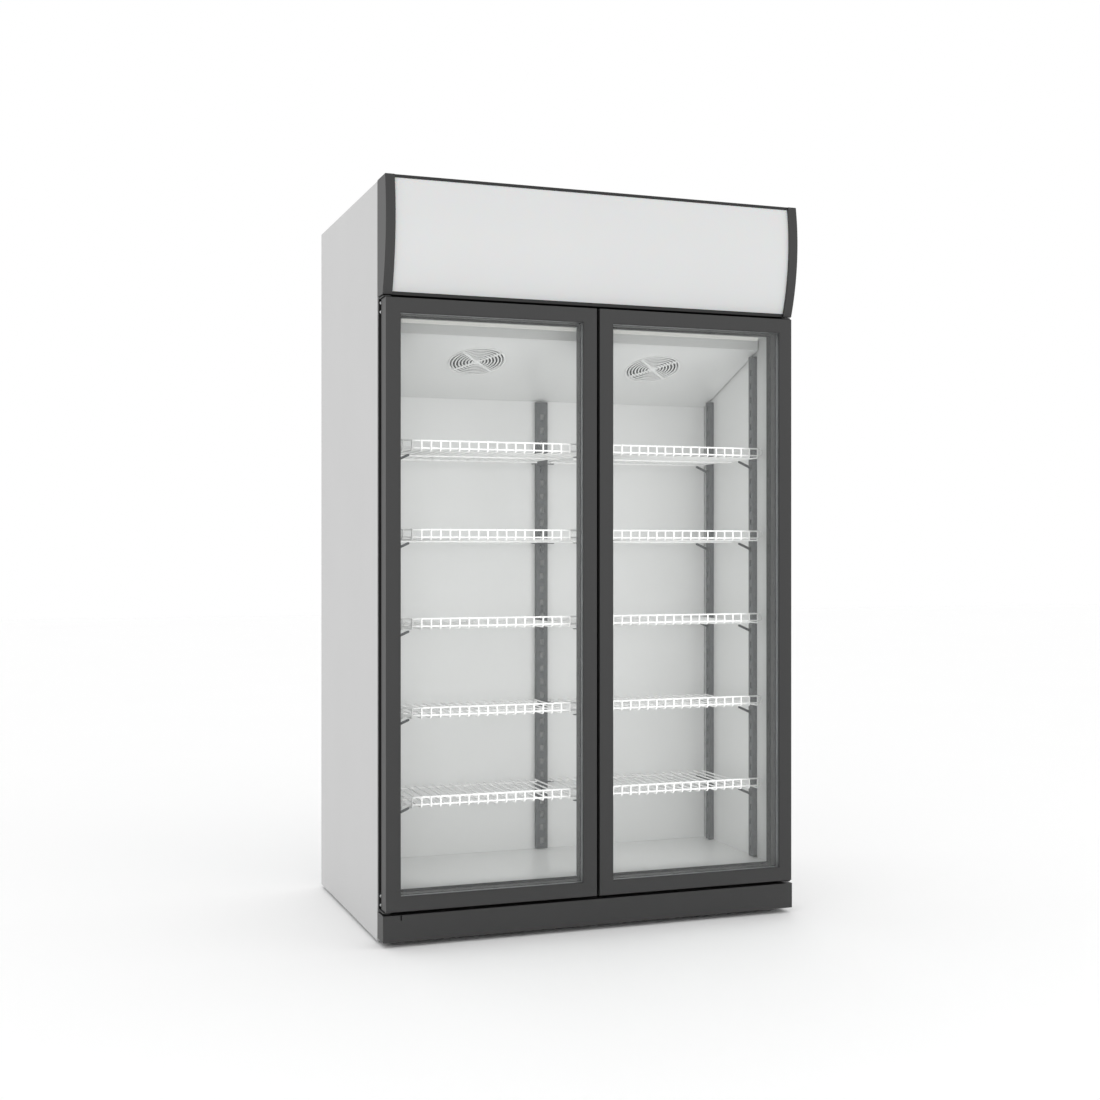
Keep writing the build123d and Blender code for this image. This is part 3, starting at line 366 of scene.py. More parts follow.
FINISHES = {
    "cabinet_paint": cabinet_powder_coat,
    "dark_frame": anodised_frame,
    "black_surround": surround_plastic,
    "liner_white": liner_coating,
    "foam": insulation_foam,
    "galvanised_steel": galvanised_sheet,
    "standard_grey": plated_standard,
    "shelf_wire": dipped_wire,
    "clip_steel": clip_plate,
    "door_glass": float_glass,
    "spacer_aluminium": spacer_bar,
    "gasket_rubber": soft_gasket,
    "sign_acrylic": opal_acrylic,
    "lamp_white": lamp_diffuser,
    "fan_plastic": fan_moulding,
    "guard_plastic": guard_moulding,
    "motor_paint": motor_enamel,
    "compressor_paint": compressor_enamel,
    "coil_aluminium": fin_stock,
    "pipe_copper": drawn_copper,
    "control_plastic": control_moulding,
    "switch_plastic": switch_moulding,
    "plated_steel": bright_plate,
    "bracket_black": bracket_coat,
}

made_finishes = {}


def finish_for(slot_name):
    """The finished material of a slot, made once."""
    if slot_name not in made_finishes:
        made_finishes[slot_name] = FINISHES[slot_name](bpy.context.scene.merchandiser_colours)
    return made_finishes[slot_name]


SLOT_OF_NODE = {part["node"]: part["material_slot"] for part in frame["record"]["subparts"]}
BODIES = frame["record"]["behaviour"]["bodies"]
BODY_OF_NODE = {node: body for body, nodes in BODIES.items() for node in nodes}


# ------------------------------------------------------------------ mesh helpers
def add_piece(name, mesh, node, slot_name=None):
    """Puts a finished mesh in the scene as the piece that stands for a CAD node."""
    piece = bpy.data.objects.new(name, mesh)
    bpy.context.scene.collection.objects.link(piece)
    slot_name = slot_name or SLOT_OF_NODE[node]
    mesh.materials.clear()
    mesh.materials.append(finish_for(slot_name))
    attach(piece, BODY_OF_NODE[node])
    return piece


def mesh_from(bm, name):
    """Writes a bmesh to a new mesh with outward normals."""
    bmesh.ops.recalc_face_normals(bm, faces=bm.faces)
    mesh = bpy.data.meshes.new(name)
    bm.to_mesh(mesh)
    bm.free()
    return mesh


def path_mesh(points, closed=False):
    """A chain of edges through points, which a node tree turns into a curve."""
    edges = [(i, i + 1) for i in range(len(points) - 1)]
    if closed:
        edges.append((len(points) - 1, 0))
    mesh = bpy.data.meshes.new("path")
    mesh.from_pydata([tuple(p) for p in points], edges, [])
    return mesh


def arc(centre, radius, start, end, steps, across, up):
    """Points on an arc about a centre, in the plane of two unit vectors, angles in degrees."""
    found = []
    for step in range(steps + 1):
        angle = math.radians(start + (end - start) * step / steps)
        found.append(centre + across * (radius * math.cos(angle)) + up * (radius * math.sin(angle)))
    return found


def softened(node, width, segments=2):
    """A copy of a CAD node's mesh with its sharp edges rounded to a small radius."""
    bm = bmesh.new()
    bm.from_mesh(frame["nodes"][node].data)
    bmesh.ops.remove_doubles(bm, verts=bm.verts, dist=0.01 * MM)
    bmesh.ops.dissolve_limit(bm, angle_limit=math.radians(0.5), verts=bm.verts, edges=bm.edges)
    sharp = [edge for edge in bm.edges if edge.is_manifold and edge.calc_face_angle(0) > math.radians(35)]
    bmesh.ops.bevel(bm, geom=sharp, offset=width, segments=segments, profile=0.5, affect="EDGES",
                    clamp_overlap=True, material=-1)
    for face in bm.faces:
        face.smooth = False
    return mesh_from(bm, node + "_mesh")


# ------------------------------------------------------------------ geometry node trees
def new_tree(name, sockets):
    """A geometry node group with a geometry input and named inputs: (name, socket type)."""
    tree = bpy.data.node_groups.new(name, "GeometryNodeTree")
    tree.interface.new_socket("Geometry", in_out="INPUT", socket_type="NodeSocketGeometry")
    for socket_name, socket_type in sockets:
        tree.interface.new_socket(socket_name, in_out="INPUT", socket_type=socket_type)
    tree.interface.new_socket("Geometry", in_out="OUTPUT", socket_type="NodeSocketGeometry")
    return tree, tree.nodes.new("NodeGroupInput"), tree.nodes.new("NodeGroupOutput")


def close_tree(tree, source, given, output):
    """Ends a tree: instances made real, then the material set."""
    real = add_node(tree, "GeometryNodeRealizeInstances", {"Geometry": source})
    coloured = add_node(tree, "GeometryNodeSetMaterial",
                        {"Geometry": real.outputs[0], "Material": given.outputs["Material"]})
    tree.links.new(coloured.outputs[0], output.inputs[0])
    return tree


def wire_row_tree():
    """A round wire along a path, repeated in a row."""
    tree, given, output = new_tree("wire_row", (
        ("Wire Radius", "NodeSocketFloat"), ("Sides", "NodeSocketInt"), ("Count", "NodeSocketInt"),
        ("Step", "NodeSocketVector"), ("Material", "NodeSocketMaterial")))
    path = add_node(tree, "GeometryNodeMeshToCurve", {"Mesh": given.outputs["Geometry"]})
    section = add_node(tree, "GeometryNodeCurvePrimitiveCircle",
                       {"Resolution": given.outputs["Sides"], "Radius": given.outputs["Wire Radius"]})
    wire = add_node(tree, "GeometryNodeCurveToMesh",
                    {"Curve": path.outputs[0], "Profile Curve": section.outputs[0], "Fill Caps": True})
    smooth = add_node(tree, "GeometryNodeSetShadeSmooth", {"Geometry": wire.outputs[0]})
    row = add_node(tree, "GeometryNodeMeshLine",
                   {"Count": given.outputs["Count"], "Offset": given.outputs["Step"]})
    copies = add_node(tree, "GeometryNodeInstanceOnPoints",
                      {"Points": row.outputs[0], "Instance": smooth.outputs[0]})
    return close_tree(tree, copies.outputs[0], given, output)


def guard_rings_tree():
    """Concentric rings of a flat section, each wider than the last by the same step."""
    tree, given, output = new_tree("guard_rings", (
        ("Rings", "NodeSocketInt"), ("First Radius", "NodeSocketFloat"), ("Radius Step", "NodeSocketFloat"),
        ("Rib Width", "NodeSocketFloat"), ("Rib Height", "NodeSocketFloat"),
        ("Material", "NodeSocketMaterial")))
    points = add_node(tree, "GeometryNodePoints", {"Count": given.outputs["Rings"]})
    order = add_node(tree, "GeometryNodeInputIndex")
    growth = add_node(tree, "ShaderNodeMath", operation="MULTIPLY_ADD")
    tree.links.new(order.outputs[0], growth.inputs[0])
    tree.links.new(given.outputs["Radius Step"], growth.inputs[1])
    tree.links.new(given.outputs["First Radius"], growth.inputs[2])
    circle = add_node(tree, "GeometryNodeCurvePrimitiveCircle", {"Resolution": 72, "Radius": 1.0})
    rings = add_node(tree, "GeometryNodeInstanceOnPoints",
                     {"Points": points.outputs[0], "Instance": circle.outputs[0], "Scale": growth.outputs[0]})
    paths = add_node(tree, "GeometryNodeRealizeInstances", {"Geometry": rings.outputs[0]})
    section = add_node(tree, "GeometryNodeCurvePrimitiveQuadrilateral",
                       {"Width": given.outputs["Rib Width"], "Height": given.outputs["Rib Height"]})
    ribs = add_node(tree, "GeometryNodeCurveToMesh",
                    {"Curve": paths.outputs[0], "Profile Curve": section.outputs[0]})
    joined = add_node(tree, "GeometryNodeJoinGeometry", {"Geometry": ribs.outputs[0]})
    tree.links.new(given.outputs["Geometry"], joined.inputs[0])
    return close_tree(tree, joined.outputs[0], given, output)


def fin_row_tree():
    """Thin plates in a row, with whatever passes through them."""
    tree, given, output = new_tree("fin_row", (
        ("Count", "NodeSocketInt"), ("Step", "NodeSocketVector"), ("Start", "NodeSocketVector"),
        ("Plate", "NodeSocketVector"), ("Material", "NodeSocketMaterial")))
    plate = add_node(tree, "GeometryNodeMeshCube", {"Size": given.outputs["Plate"]})
    row = add_node(tree, "GeometryNodeMeshLine",
                   {"Count": given.outputs["Count"], "Offset": given.outputs["Step"],
                    "Start Location": given.outputs["Start"]})
    fins = add_node(tree, "GeometryNodeInstanceOnPoints",
                    {"Points": row.outputs[0], "Instance": plate.outputs[0]})
    joined = add_node(tree, "GeometryNodeJoinGeometry", {"Geometry": fins.outputs[0]})
    tree.links.new(given.outputs["Geometry"], joined.inputs[0])
    return close_tree(tree, joined.outputs[0], given, output)


def scatter_tree():
    """One shape repeated at every point of the input."""
    tree, given, output = new_tree("screw_scatter", (
        ("Shape", "NodeSocketObject"), ("Material", "NodeSocketMaterial")))
    shape = add_node(tree, "GeometryNodeObjectInfo", {"Object": given.outputs["Shape"]})
    copies = add_node(tree, "GeometryNodeInstanceOnPoints",
                      {"Points": given.outputs["Geometry"], "Instance": shape.outputs["Geometry"]})
    return close_tree(tree, copies.outputs[0], given, output)


def grown(mesh, tree, values):
    """The plain mesh that a node tree makes from a carrier mesh and its named inputs."""
    carrier = bpy.data.objects.new("carrier", mesh)
    bpy.context.scene.collection.objects.link(carrier)
    modifier = carrier.modifiers.new(tree.name, "NODES")
    modifier.node_group = tree
    for item in tree.interface.items_tree:
        if item.item_type == "SOCKET" and item.in_out == "INPUT" and item.name in values:
            modifier[item.identifier] = values[item.name]
    depsgraph = bpy.context.evaluated_depsgraph_get()
    result = bpy.data.meshes.new_from_object(carrier.evaluated_get(depsgraph))
    bpy.data.objects.remove(carrier)
    if not result.polygons:
        raise RuntimeError(f"the tree {tree.name} made no faces")
    return result


# ------------------------------------------------------------------ wire shelves
def shelf_mesh(sizes):
    """One right-hand shelf, from the lowest right one: bent deck wires, the lip's loop and two cross rods."""
    low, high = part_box("shelf_right_1")
    radius = sizes.wire_radius
    step_z = 2 * radius + sizes.wire_gap
    deck_z = low.z + radius + step_z
    lip_y = low.y + radius
    bend = sizes.wire_bend
    first_x = low.x + radius
    last_x = high.x - radius - sizes.lip_overhang
    x_axis, y_axis, z_axis = Vector((1, 0, 0)), Vector((0, 1, 0)), Vector((0, 0, 1))
    corner = Vector((first_x, lip_y + bend, deck_z + bend))
    deck_path = [Vector((first_x, high.y, deck_z))]
    deck_path += arc(corner, bend, 270, 180, 8, y_axis, z_axis)
    deck_path.append(Vector((first_x, lip_y, high.z - radius * 0.2)))
    gaps = round((last_x - first_x) / sizes.wire_pitch)
    spacing = (last_x - first_x) / gaps
    loop_y = lip_y + step_z
    loop_low, loop_high = deck_z + bend, high.z - radius
    loop_last = high.x - radius
    turn = sizes.lip_corner
    loop_path = []
    for cx, cz, start in ((first_x + turn, loop_low + turn, 180), (loop_last - turn, loop_low + turn, 270),
                          (loop_last - turn, loop_high - turn, 0), (first_x + turn, loop_high - turn, 90)):
        loop_path += arc(Vector((cx, loop_y, cz)), turn, start, start + 90, 6, x_axis, z_axis)
    rod_z = deck_z - step_z
    rod_front = loop_y + 0.45 * (high.y - loop_y)
    rod_rear = high.y - sizes.rod_inset
    rod_path = [Vector((low.x, rod_front, rod_z)), Vector((last_x + radius, rod_front, rod_z))]
    tree = wire_row_tree()
    common = {"Wire Radius": radius, "Sides": 12, "Material": finish_for("shelf_wire")}
    parts = (
        grown(path_mesh(deck_path), tree, {**common, "Count": gaps + 1, "Step": (spacing, 0, 0)}),
        grown(path_mesh(loop_path, closed=True), tree, {**common, "Count": 1, "Step": (0, 0, 0)}),
        grown(path_mesh(rod_path), tree, {**common, "Count": 2, "Step": (0, rod_rear - rod_front, 0)}),
    )
    bm = bmesh.new()
    for part in parts:
        bm.from_mesh(part)
    for face in bm.faces:
        face.smooth = len(face.verts) == 4
    return mesh_from(bm, "shelf"), low.z


def build_shelves():
    """Every wire shelf, as a copy of one shelf moved to its level and mirrored for the left column."""
    template, base = shelf_mesh(bpy.context.scene.merchandiser_sizes)
    for side in SIDES:
        for level in LEVELS:
            node = f"shelf_{side}_{level}"
            mesh = template.copy()
            mesh.transform(Matrix.Translation((0, 0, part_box(node)[0].z - base)))
            if side == "left":
                mesh.transform(Matrix.Scale(-1, 4, (1, 0, 0)))
                mesh.flip_normals()
            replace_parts(add_piece(f"wire_{node}", mesh, node), node)


# ------------------------------------------------------------------ fan guards
def build_guards():
    """Ribbed round guards under the evaporator fans: concentric ribs held by two crossing bars."""
    sizes = bpy.context.scene.merchandiser_sizes
    low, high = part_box("fan_guards")
    radius = (high.x - low.x) / 2 - fan_offset()
    middle = (high.y + low.y) / 2, (high.z + low.z) / 2
    bars = bmesh.new()
    for turn in (45, 135):
        made = bmesh.ops.create_cube(bars, size=1.0)["verts"]
        bmesh.ops.scale(bars, vec=(2 * (radius - sizes.guard_rib), sizes.guard_bar, sizes.guard_depth * 0.9),
                        verts=made)
        bmesh.ops.rotate(bars, matrix=Matrix.Rotation(math.radians(turn), 3, "Z"), verts=made)
    bmesh.ops.bevel(bars, geom=bars.edges[:], offset=0.4 * MM, segments=2, profile=0.5, affect="EDGES")
    hub = bmesh.ops.create_cone(bars, cap_ends=True, segments=40, radius1=sizes.guard_hub,
                                radius2=sizes.guard_hub, depth=sizes.guard_depth * 0.95)["verts"]
    bmesh.ops.bevel(bars, geom=[edge for edge in bars.edges if edge.verts[0] in hub and
                                abs(edge.verts[0].co.z - edge.verts[1].co.z) < 1e-6],
                    offset=0.4 * MM, segments=2, profile=0.5, affect="EDGES")
    carrier = mesh_from(bars, "guard_bars")
    rings = sizes.guard_rings
    first = sizes.guard_hub + sizes.guard_rib
    step = (radius - sizes.guard_rib / 2 - first) / (rings - 1)
    mesh = grown(carrier, guard_rings_tree(), {
        "Rings": rings, "First Radius": first, "Radius Step": step, "Rib Width": sizes.guard_rib,
        "Rib Height": sizes.guard_depth, "Material": finish_for("guard_plastic")})
    bm = bmesh.new()
    for side in (-1, 1):
        copy = mesh.copy()
        tilt = Matrix.Rotation(-slope_angle(), 4, "X")
        copy.transform(Matrix.Translation((side * fan_offset(), *middle)) @ tilt)
        bm.from_mesh(copy)
    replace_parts(add_piece("ribbed_fan_guards", mesh_from(bm, "guards"), "fan_guards"), "fan_guards")


def fan_offset():
    """Distance of a fan's axis from the cabinet's middle, from its joint."""
    return abs(next(j["pos_m"][0] for j in frame["joints"] if j["name"] == "evaporator_fan_right_spin"))


def slope_angle():
    """Tilt of the evaporator cover, from the fans' axis."""
    axis = next(j["axis"] for j in frame["joints"] if j["name"] == "evaporator_fan_right_spin")
    return math.atan2(axis[1], axis[2])


# ------------------------------------------------------------------ coils
def build_coils():
    """Condenser and evaporator: close fins in a row across round tubes."""
    sizes = bpy.context.scene.merchandiser_sizes
    tree = fin_row_tree()
    for node, rows in (("evaporator_coil", 2), ("condenser_coil", 1)):
        low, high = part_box(node)
        header = sizes.coil_header
        length = high.x - low.x - 2 * header
        count = int(length / sizes.fin_pitch)
        tubes = bmesh.new()
        depth = high.y - low.y
        height = high.z - low.z
        for row in range(rows):
            y = low.y + depth * (row + 0.5) / rows
            for layer in range(int(height / sizes.tube_pitch)):
                z = low.z + sizes.tube_pitch * (layer + 0.5)
                made = bmesh.ops.create_cone(tubes, cap_ends=True, segments=14, radius1=sizes.tube_radius,
                                             radius2=sizes.tube_radius, depth=high.x - low.x)["verts"]
                bmesh.ops.rotate(tubes, matrix=Matrix.Rotation(math.pi / 2, 3, "Y"), verts=made)
                bmesh.ops.translate(tubes, vec=((low.x + high.x) / 2, y, z), verts=made)
        mesh = grown(mesh_from(tubes, "tubes"), tree, {
            "Count": count + 1, "Step": (length / count, 0, 0),
            "Start": (low.x + header, (low.y + high.y) / 2, (low.z + high.z) / 2),
            "Plate": (sizes.fin_sheet, depth, height), "Material": finish_for("coil_aluminium")})
        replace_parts(add_piece(f"finned_{node}", mesh, node), node)


# ------------------------------------------------------------------ hinge screws
def screw_head(sizes):
    """A pan head with a cross recess, facing -Y, its seat at the origin."""
    bm = bmesh.new()
    outline = [(0.0, sizes.screw_height), (sizes.screw_radius * 0.55, sizes.screw_height * 0.94),
               (sizes.screw_radius * 0.85, sizes.screw_height * 0.66),
               (sizes.screw_radius, sizes.screw_height * 0.2),
               (sizes.screw_radius, 0.0), (0.0, 0.0)]
    rings = [bm.verts.new((r, -h, 0)) for r, h in outline]
    edges = [bm.edges.new(pair) for pair in zip(rings, rings[1:])]
    bmesh.ops.spin(bm, geom=rings + edges, cent=(0, 0, 0), axis=(0, 1, 0), angle=2 * math.pi, steps=24,
                   use_merge=True)
    bmesh.ops.remove_doubles(bm, verts=bm.verts, dist=0.001 * MM)
    for turn in (0, 90):
        made = bmesh.ops.create_cube(bm, size=1.0)["verts"]
        bmesh.ops.scale(bm, vec=(sizes.screw_radius * 1.1, 0.3 * MM, 0.9 * MM), verts=made)
        bmesh.ops.rotate(bm, matrix=Matrix.Rotation(math.radians(turn), 3, "Y"), verts=made)
        bmesh.ops.translate(bm, vec=(0, -sizes.screw_height + 0.16 * MM, 0), verts=made)
    head = bpy.data.objects.new("screw_head", mesh_from(bm, "screw_head"))
    bpy.context.scene.collection.objects.link(head)
    return head


def build_screws():
    """Screws that hold the hinge brackets, one shape at each place."""
    sizes = bpy.context.scene.merchandiser_sizes
    low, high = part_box("hinge_screws")
    radius = sizes.screw_radius
    rows = (low.z + radius, low.z + radius + sizes.screw_spacing,
            high.z - radius - sizes.screw_spacing, high.z - radius)
    places = [(x, high.y, z) for x in (low.x + radius, high.x - radius) for z in rows]
    head = screw_head(sizes)
    carrier = bpy.data.meshes.new("screw_places")
    carrier.from_pydata(places, [], [])
    mesh = grown(carrier, scatter_tree(), {"Shape": head, "Material": finish_for("plated_steel")})
    bpy.data.objects.remove(head)
    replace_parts(add_piece("hinge_bracket_screws", mesh, "hinge_screws"), "hinge_screws")


# ------------------------------------------------------------------ doors
def rounded(corner, radius, quarter, steps=3):
    """Points round a corner of a section: quarter is the arc's first angle in degrees."""
    points = []
    for step in range(steps + 1):
        angle = math.radians(quarter + 90.0 * step / steps)
        points.append((corner[0] + radius * math.cos(angle), corner[1] + radius * math.sin(angle)))
    return points


def ring_mesh(name, low, high, section):
    """A closed rectangular ring in the XZ plane: section points are (inset from the edge, distance back)."""
    bm = bmesh.new()
    loops = []
    for inset, back in section:
        y = low.y + back
        loops.append([bm.verts.new(p) for p in (
            (low.x + inset, y, low.z + inset), (high.x - inset, y, low.z + inset),
            (high.x - inset, y, high.z - inset), (low.x + inset, y, high.z - inset))])
    for i, loop in enumerate(loops):
        following = loops[(i + 1) % len(loops)]
        for j in range(4):
            bm.faces.new((loop[j], loop[(j + 1) % 4], following[(j + 1) % 4], following[j]))
    return mesh_from(bm, name)


def build_door_frames():
    """Door frames: one section mitred round the glass, with rounded edges, a bead and the glazing groove."""
    sizes = bpy.context.scene.merchandiser_sizes
    for side in SIDES:
        node = f"door_{side}_frame"
        low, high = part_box(node)
        glass_low, glass_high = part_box(f"door_{side}_glass")
        depth = high.y - low.y
        face = sizes.frame_face
        edge = sizes.frame_edge
        bead = sizes.bead_width
        groove_front = glass_low.y - low.y - 0.2 * MM
        groove_back = glass_high.y - low.y + 0.2 * MM
        grip = glass_low.x - low.x - 0.3 * MM if side == "left" else high.x - glass_high.x - 0.3 * MM
        section = rounded((edge, edge), edge, 180)
        section += [(face - bead - 0.6 * MM, 0.0), (face - bead, 0.7 * MM), (face - 0.5 * MM, 0.7 * MM),
                    (face, 1.2 * MM), (face, groove_front), (grip, groove_front), (grip, groove_back),
                    (face, groove_back), (face, depth - 1.0 * MM), (face - 1.0 * MM, depth),
                    (1.0 * MM, depth), (0.0, depth - 1.0 * MM)]
        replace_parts(add_piece(f"extruded_{node}", ring_mesh(node, low, high, section), node), node)


def build_gaskets():
    """Door gaskets: a magnet bulb on a folded bellows, one ring to each door."""
    sizes = bpy.context.scene.merchandiser_sizes
    for side in SIDES:
        node = f"door_{side}_gasket"
        low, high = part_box(node)
        deep = high.y - low.y
        wide = sizes.gasket_width
        section = [(0.12 * wide, 0.0), (0.12 * wide, 0.16 * deep), (0.0, 0.28 * deep),
                   (0.16 * wide, 0.42 * deep), (0.02 * wide, 0.56 * deep), (0.0, 0.9 * deep),
                   (0.1 * wide, deep), (0.9 * wide, deep),
                   (wide, 0.9 * deep), (0.98 * wide, 0.56 * deep), (0.84 * wide, 0.42 * deep),
                   (wide, 0.28 * deep), (0.88 * wide, 0.16 * deep), (0.88 * wide, 0.0)]
        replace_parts(add_piece(f"bellows_{node}", ring_mesh(node, low, high, section), node), node)


# ------------------------------------------------------------------ softened sheet-metal pieces
SOFT_EDGES_MM = {
    "canopy_end_cap_left": 1.2, "canopy_end_cap_right": 1.2, "canopy_rails": 0.7, "kick_plate": 0.7,
    "hinge_brackets": 0.5, "control_box": 1.5, "base_frame": 0.6, "front_surround": 0.8,
}


def build_softened():
    """Pieces whose edges catch the light: copies of the CAD shapes with small rounds."""
    for node, width in SOFT_EDGES_MM.items():
        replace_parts(add_piece(f"soft_edged_{node}", softened(node, width * MM), node), node)


def dress_nodes():
    """Gives every CAD node that still shows the material of its slot."""
    for name, node in frame["nodes"].items():
        node.data.materials.clear()
        node.data.materials.append(finish_for(SLOT_OF_NODE[name]))


# ------------------------------------------------------------------ stage
def add_area(name, place, target, size, power):
    """A soft rectangular light aimed at a point."""
    data = bpy.data.lights.new(name, "AREA")
    data.energy = power
    data.shape = "RECTANGLE"
    data.size, data.size_y = size
    lamp = bpy.data.objects.new(name, data)
    lamp.visible_camera = False
    lamp.location = place
    lamp.rotation_euler = (Vector(target) - Vector(place)).to_track_quat("-Z", "Y").to_euler()
    bpy.context.scene.collection.objects.link(lamp)


def build_stage():
    """Camera, white floor, soft lights outside and inside, and an even surround."""
    stage = bpy.context.scene.merchandiser_stage
    data = bpy.data.cameras.new("camera")
    data.lens = stage.lens
    data.sensor_width = 36.0
    data.dof.use_dof = False
    camera = bpy.data.objects.new("camera", data)
    camera.location = stage.camera_place
    camera.rotation_euler = (math.pi / 2, 0, -stage.camera_turn)
    bpy.context.scene.collection.objects.link(camera)
    bpy.context.scene.camera = camera
    half = stage.floor_size / 2
    bm = bmesh.new()
    corners = ((-half, -half, 0), (half, -half, 0), (half, half, 0), (-half, half, 0))
    bm.faces.new([bm.verts.new(corner) for corner in corners])
    floor = bpy.data.objects.new("floor", mesh_from(bm, "floor"))
    bpy.context.scene.collection.objects.link(floor)
    finish = Finish("matt_studio_floor", linear("#FFFFFF"), 0.7)
    finish.mottle(finish.noise(900, 1.0).outputs["Fac"], 0.01)
    floor.data.materials.append(finish.material)
    world = bpy.data.worlds.new("studio")
    world.use_nodes = True
    world.node_tree.nodes["Background"].inputs["Color"].default_value = (1, 1, 1, 1)
    world.node_tree.nodes["Background"].inputs["Strength"].default_value = stage.surround_strength
    bpy.context.scene.world = world
    bpy.context.scene.view_settings.view_transform = "Standard"
    middle = (0, 0, 1.0)
    add_area("key_light", (-3.2, -4.2, 3.4), middle, (3.0, 3.0), stage.key_power)
    add_area("fill_light", (3.6, -3.8, 2.2), middle, (3.0, 3.0), stage.key_power * 0.5)
    add_area("front_light", (0.6, -5.0, 1.6), middle, (3.0, 2.0), stage.key_power * 0.45)
    light_cabinet(stage)


def light_cabinet(stage):
    """A broad light behind each door, shining back on the shelves, hidden from the camera."""
    mullion_low, mullion_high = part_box("centre_mullion")
    duct_low, duct_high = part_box("duct_panel")
    tall = mullion_high.z - mullion_low.z
    for side in (-1, 1):
        place = (side * duct_high.x / 2, mullion_low.y + stage.lamp_gap, (mullion_low.z + mullion_high.z) / 2)
        aim = (place[0], duct_low.y, place[2])
        add_area(f"cabinet_light_{side}", place, aim, (duct_high.x * 0.8, tall * 0.9), stage.cabinet_power)


# ------------------------------------------------------------------ properties
def size_property(name, millimetres, description):
    """A length with its default given in millimetres."""
    return bpy.props.FloatProperty(name=name, default=millimetres * MM, unit="LENGTH",
                                   description=description)


def colour_property(name, hex_colour, description):
    """A colour with its default given in hex."""
    return bpy.props.FloatVectorProperty(name=name, default=linear(hex_colour), size=3, subtype="COLOR",
                                         min=0.0, max=1.0, description=description)


class MerchandiserSizes(bpy.types.PropertyGroup):
    """Sizes of the detailed pieces."""
    wire_radius: size_property("Wire radius", 2.25, "Radius of a coated shelf wire")
    wire_gap: size_property("Wire gap", 0.05, "Space between wires that cross")
    wire_pitch: size_property("Wire pitch", 26.6, "Distance between deck wires")
    wire_bend: size_property("Wire bend", 6.5, "Radius of the bend at the shelf's front")
    lip_overhang: size_property("Lip overhang", 14.0, "How far the lip runs past the deck wires")
    lip_corner: size_property("Lip corner", 8.0, "Corner radius of the lip's loop")
    rod_inset: size_property("Rod inset", 15.0, "Rear cross rod to the shelf's rear edge")
    guard_rings: bpy.props.IntProperty(name="Guard rings", default=8, min=2,
                                       description="Ribs in a fan guard")
    guard_rib: size_property("Guard rib", 4.2, "Width of a guard's rib")
    guard_bar: size_property("Guard bar", 7.0, "Width of a guard's crossing bars")
    guard_hub: size_property("Guard hub", 9.0, "Radius of a guard's centre disc")
    guard_depth: size_property("Guard depth", 2.4, "Thickness of a guard")
    fin_pitch: size_property("Fin pitch", 4.0, "Distance between coil fins")
    fin_sheet: size_property("Fin sheet", 0.25, "Thickness of a coil fin")
    tube_radius: size_property("Tube radius", 4.8, "Radius of a coil tube")
    tube_pitch: size_property("Tube pitch", 36.0, "Height between coil tubes")
    coil_header: size_property("Coil header", 8.0, "Tube length past the last fin")
    screw_radius: size_property("Screw radius", 4.5, "Radius of a hinge screw's head")
    screw_height: size_property("Screw height", 2.0, "Height of a hinge screw's head")
    screw_spacing: size_property("Screw spacing", 24.0, "Distance between two screws of a bracket")
    frame_face: size_property("Frame face", 40.0, "Visible width of a door frame")
    frame_edge: size_property("Frame edge", 2.0, "Round on a door frame's outer edge")
    bead_width: size_property("Bead width", 2.0, "Raised bead beside the glass")
    gasket_width: size_property("Gasket width", 16.0, "Width of a door gasket")


class MerchandiserColours(bpy.types.PropertyGroup):
    """Colours of the main finishes."""
    cabinet: colour_property("Cabinet", "#C2C2C2", "Side and top panels")
    liner: colour_property("Liner", "#E2E3E2", "Inner walls, cover and air duct")
    frame: colour_property("Frame", "#323232", "Door frames, canopy caps and kick plate")
    sign: colour_property("Sign", "#D5D6D6", "Sign panel")
    lamp_strength: bpy.props.FloatProperty(name="Lamp strength", default=0.2, min=0.0,
                                           description="Glow of the lamps")


class MerchandiserStage(bpy.types.PropertyGroup):
    """Camera and light."""
    lens: bpy.props.FloatProperty(name="Lens", default=50.43, unit="CAMERA", description="Focal length in mm")
    camera_place: bpy.props.FloatVectorProperty(name="Camera place", default=(-1.555, -4.299, 1.039),
                                                subtype="TRANSLATION", description="Where the camera stands")
    camera_turn: bpy.props.FloatProperty(name="Camera turn", default=math.radians(19.89), subtype="ANGLE",
                                         description="Camera turned to the right of straight ahead")
    floor_size: bpy.props.FloatProperty(name="Floor size", default=40.0, unit="LENGTH",
                                        description="Floor width")
    surround_strength: bpy.props.FloatProperty(name="Surround", default=1.0, min=0.0,
                                               description="Brightness of the white surround")
    lamp_gap: size_property("Lamp gap", 5.0, "Space between the doors' rear face and the cabinet lights")
    cabinet_power: bpy.props.FloatProperty(name="Cabinet power", default=2.1, min=0.0,
                                           description="Power of each light inside the cabinet, in watts")
    key_power: bpy.props.FloatProperty(name="Key power", default=18.0, min=0.0,
                                       description="Key light in watts")


# ------------------------------------------------------------------ operators
class MERCHANDISER_OT_finishes(bpy.types.Operator):
    """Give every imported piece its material"""
    bl_idname = "merchandiser.finishes"
    bl_label = "Finishes"

    def execute(self, context):
        dress_nodes()
        return {"FINISHED"}


class MERCHANDISER_OT_shelves(bpy.types.Operator):
    """Build the wire shelves"""
    bl_idname = "merchandiser.shelves"
    bl_label = "Wire shelves"

    def execute(self, context):
        build_shelves()
        return {"FINISHED"}


class MERCHANDISER_OT_guards(bpy.types.Operator):
    """Build the ribbed fan guards"""
    bl_idname = "merchandiser.guards"
    bl_label = "Fan guards"

    def execute(self, context):
        build_guards()
        return {"FINISHED"}


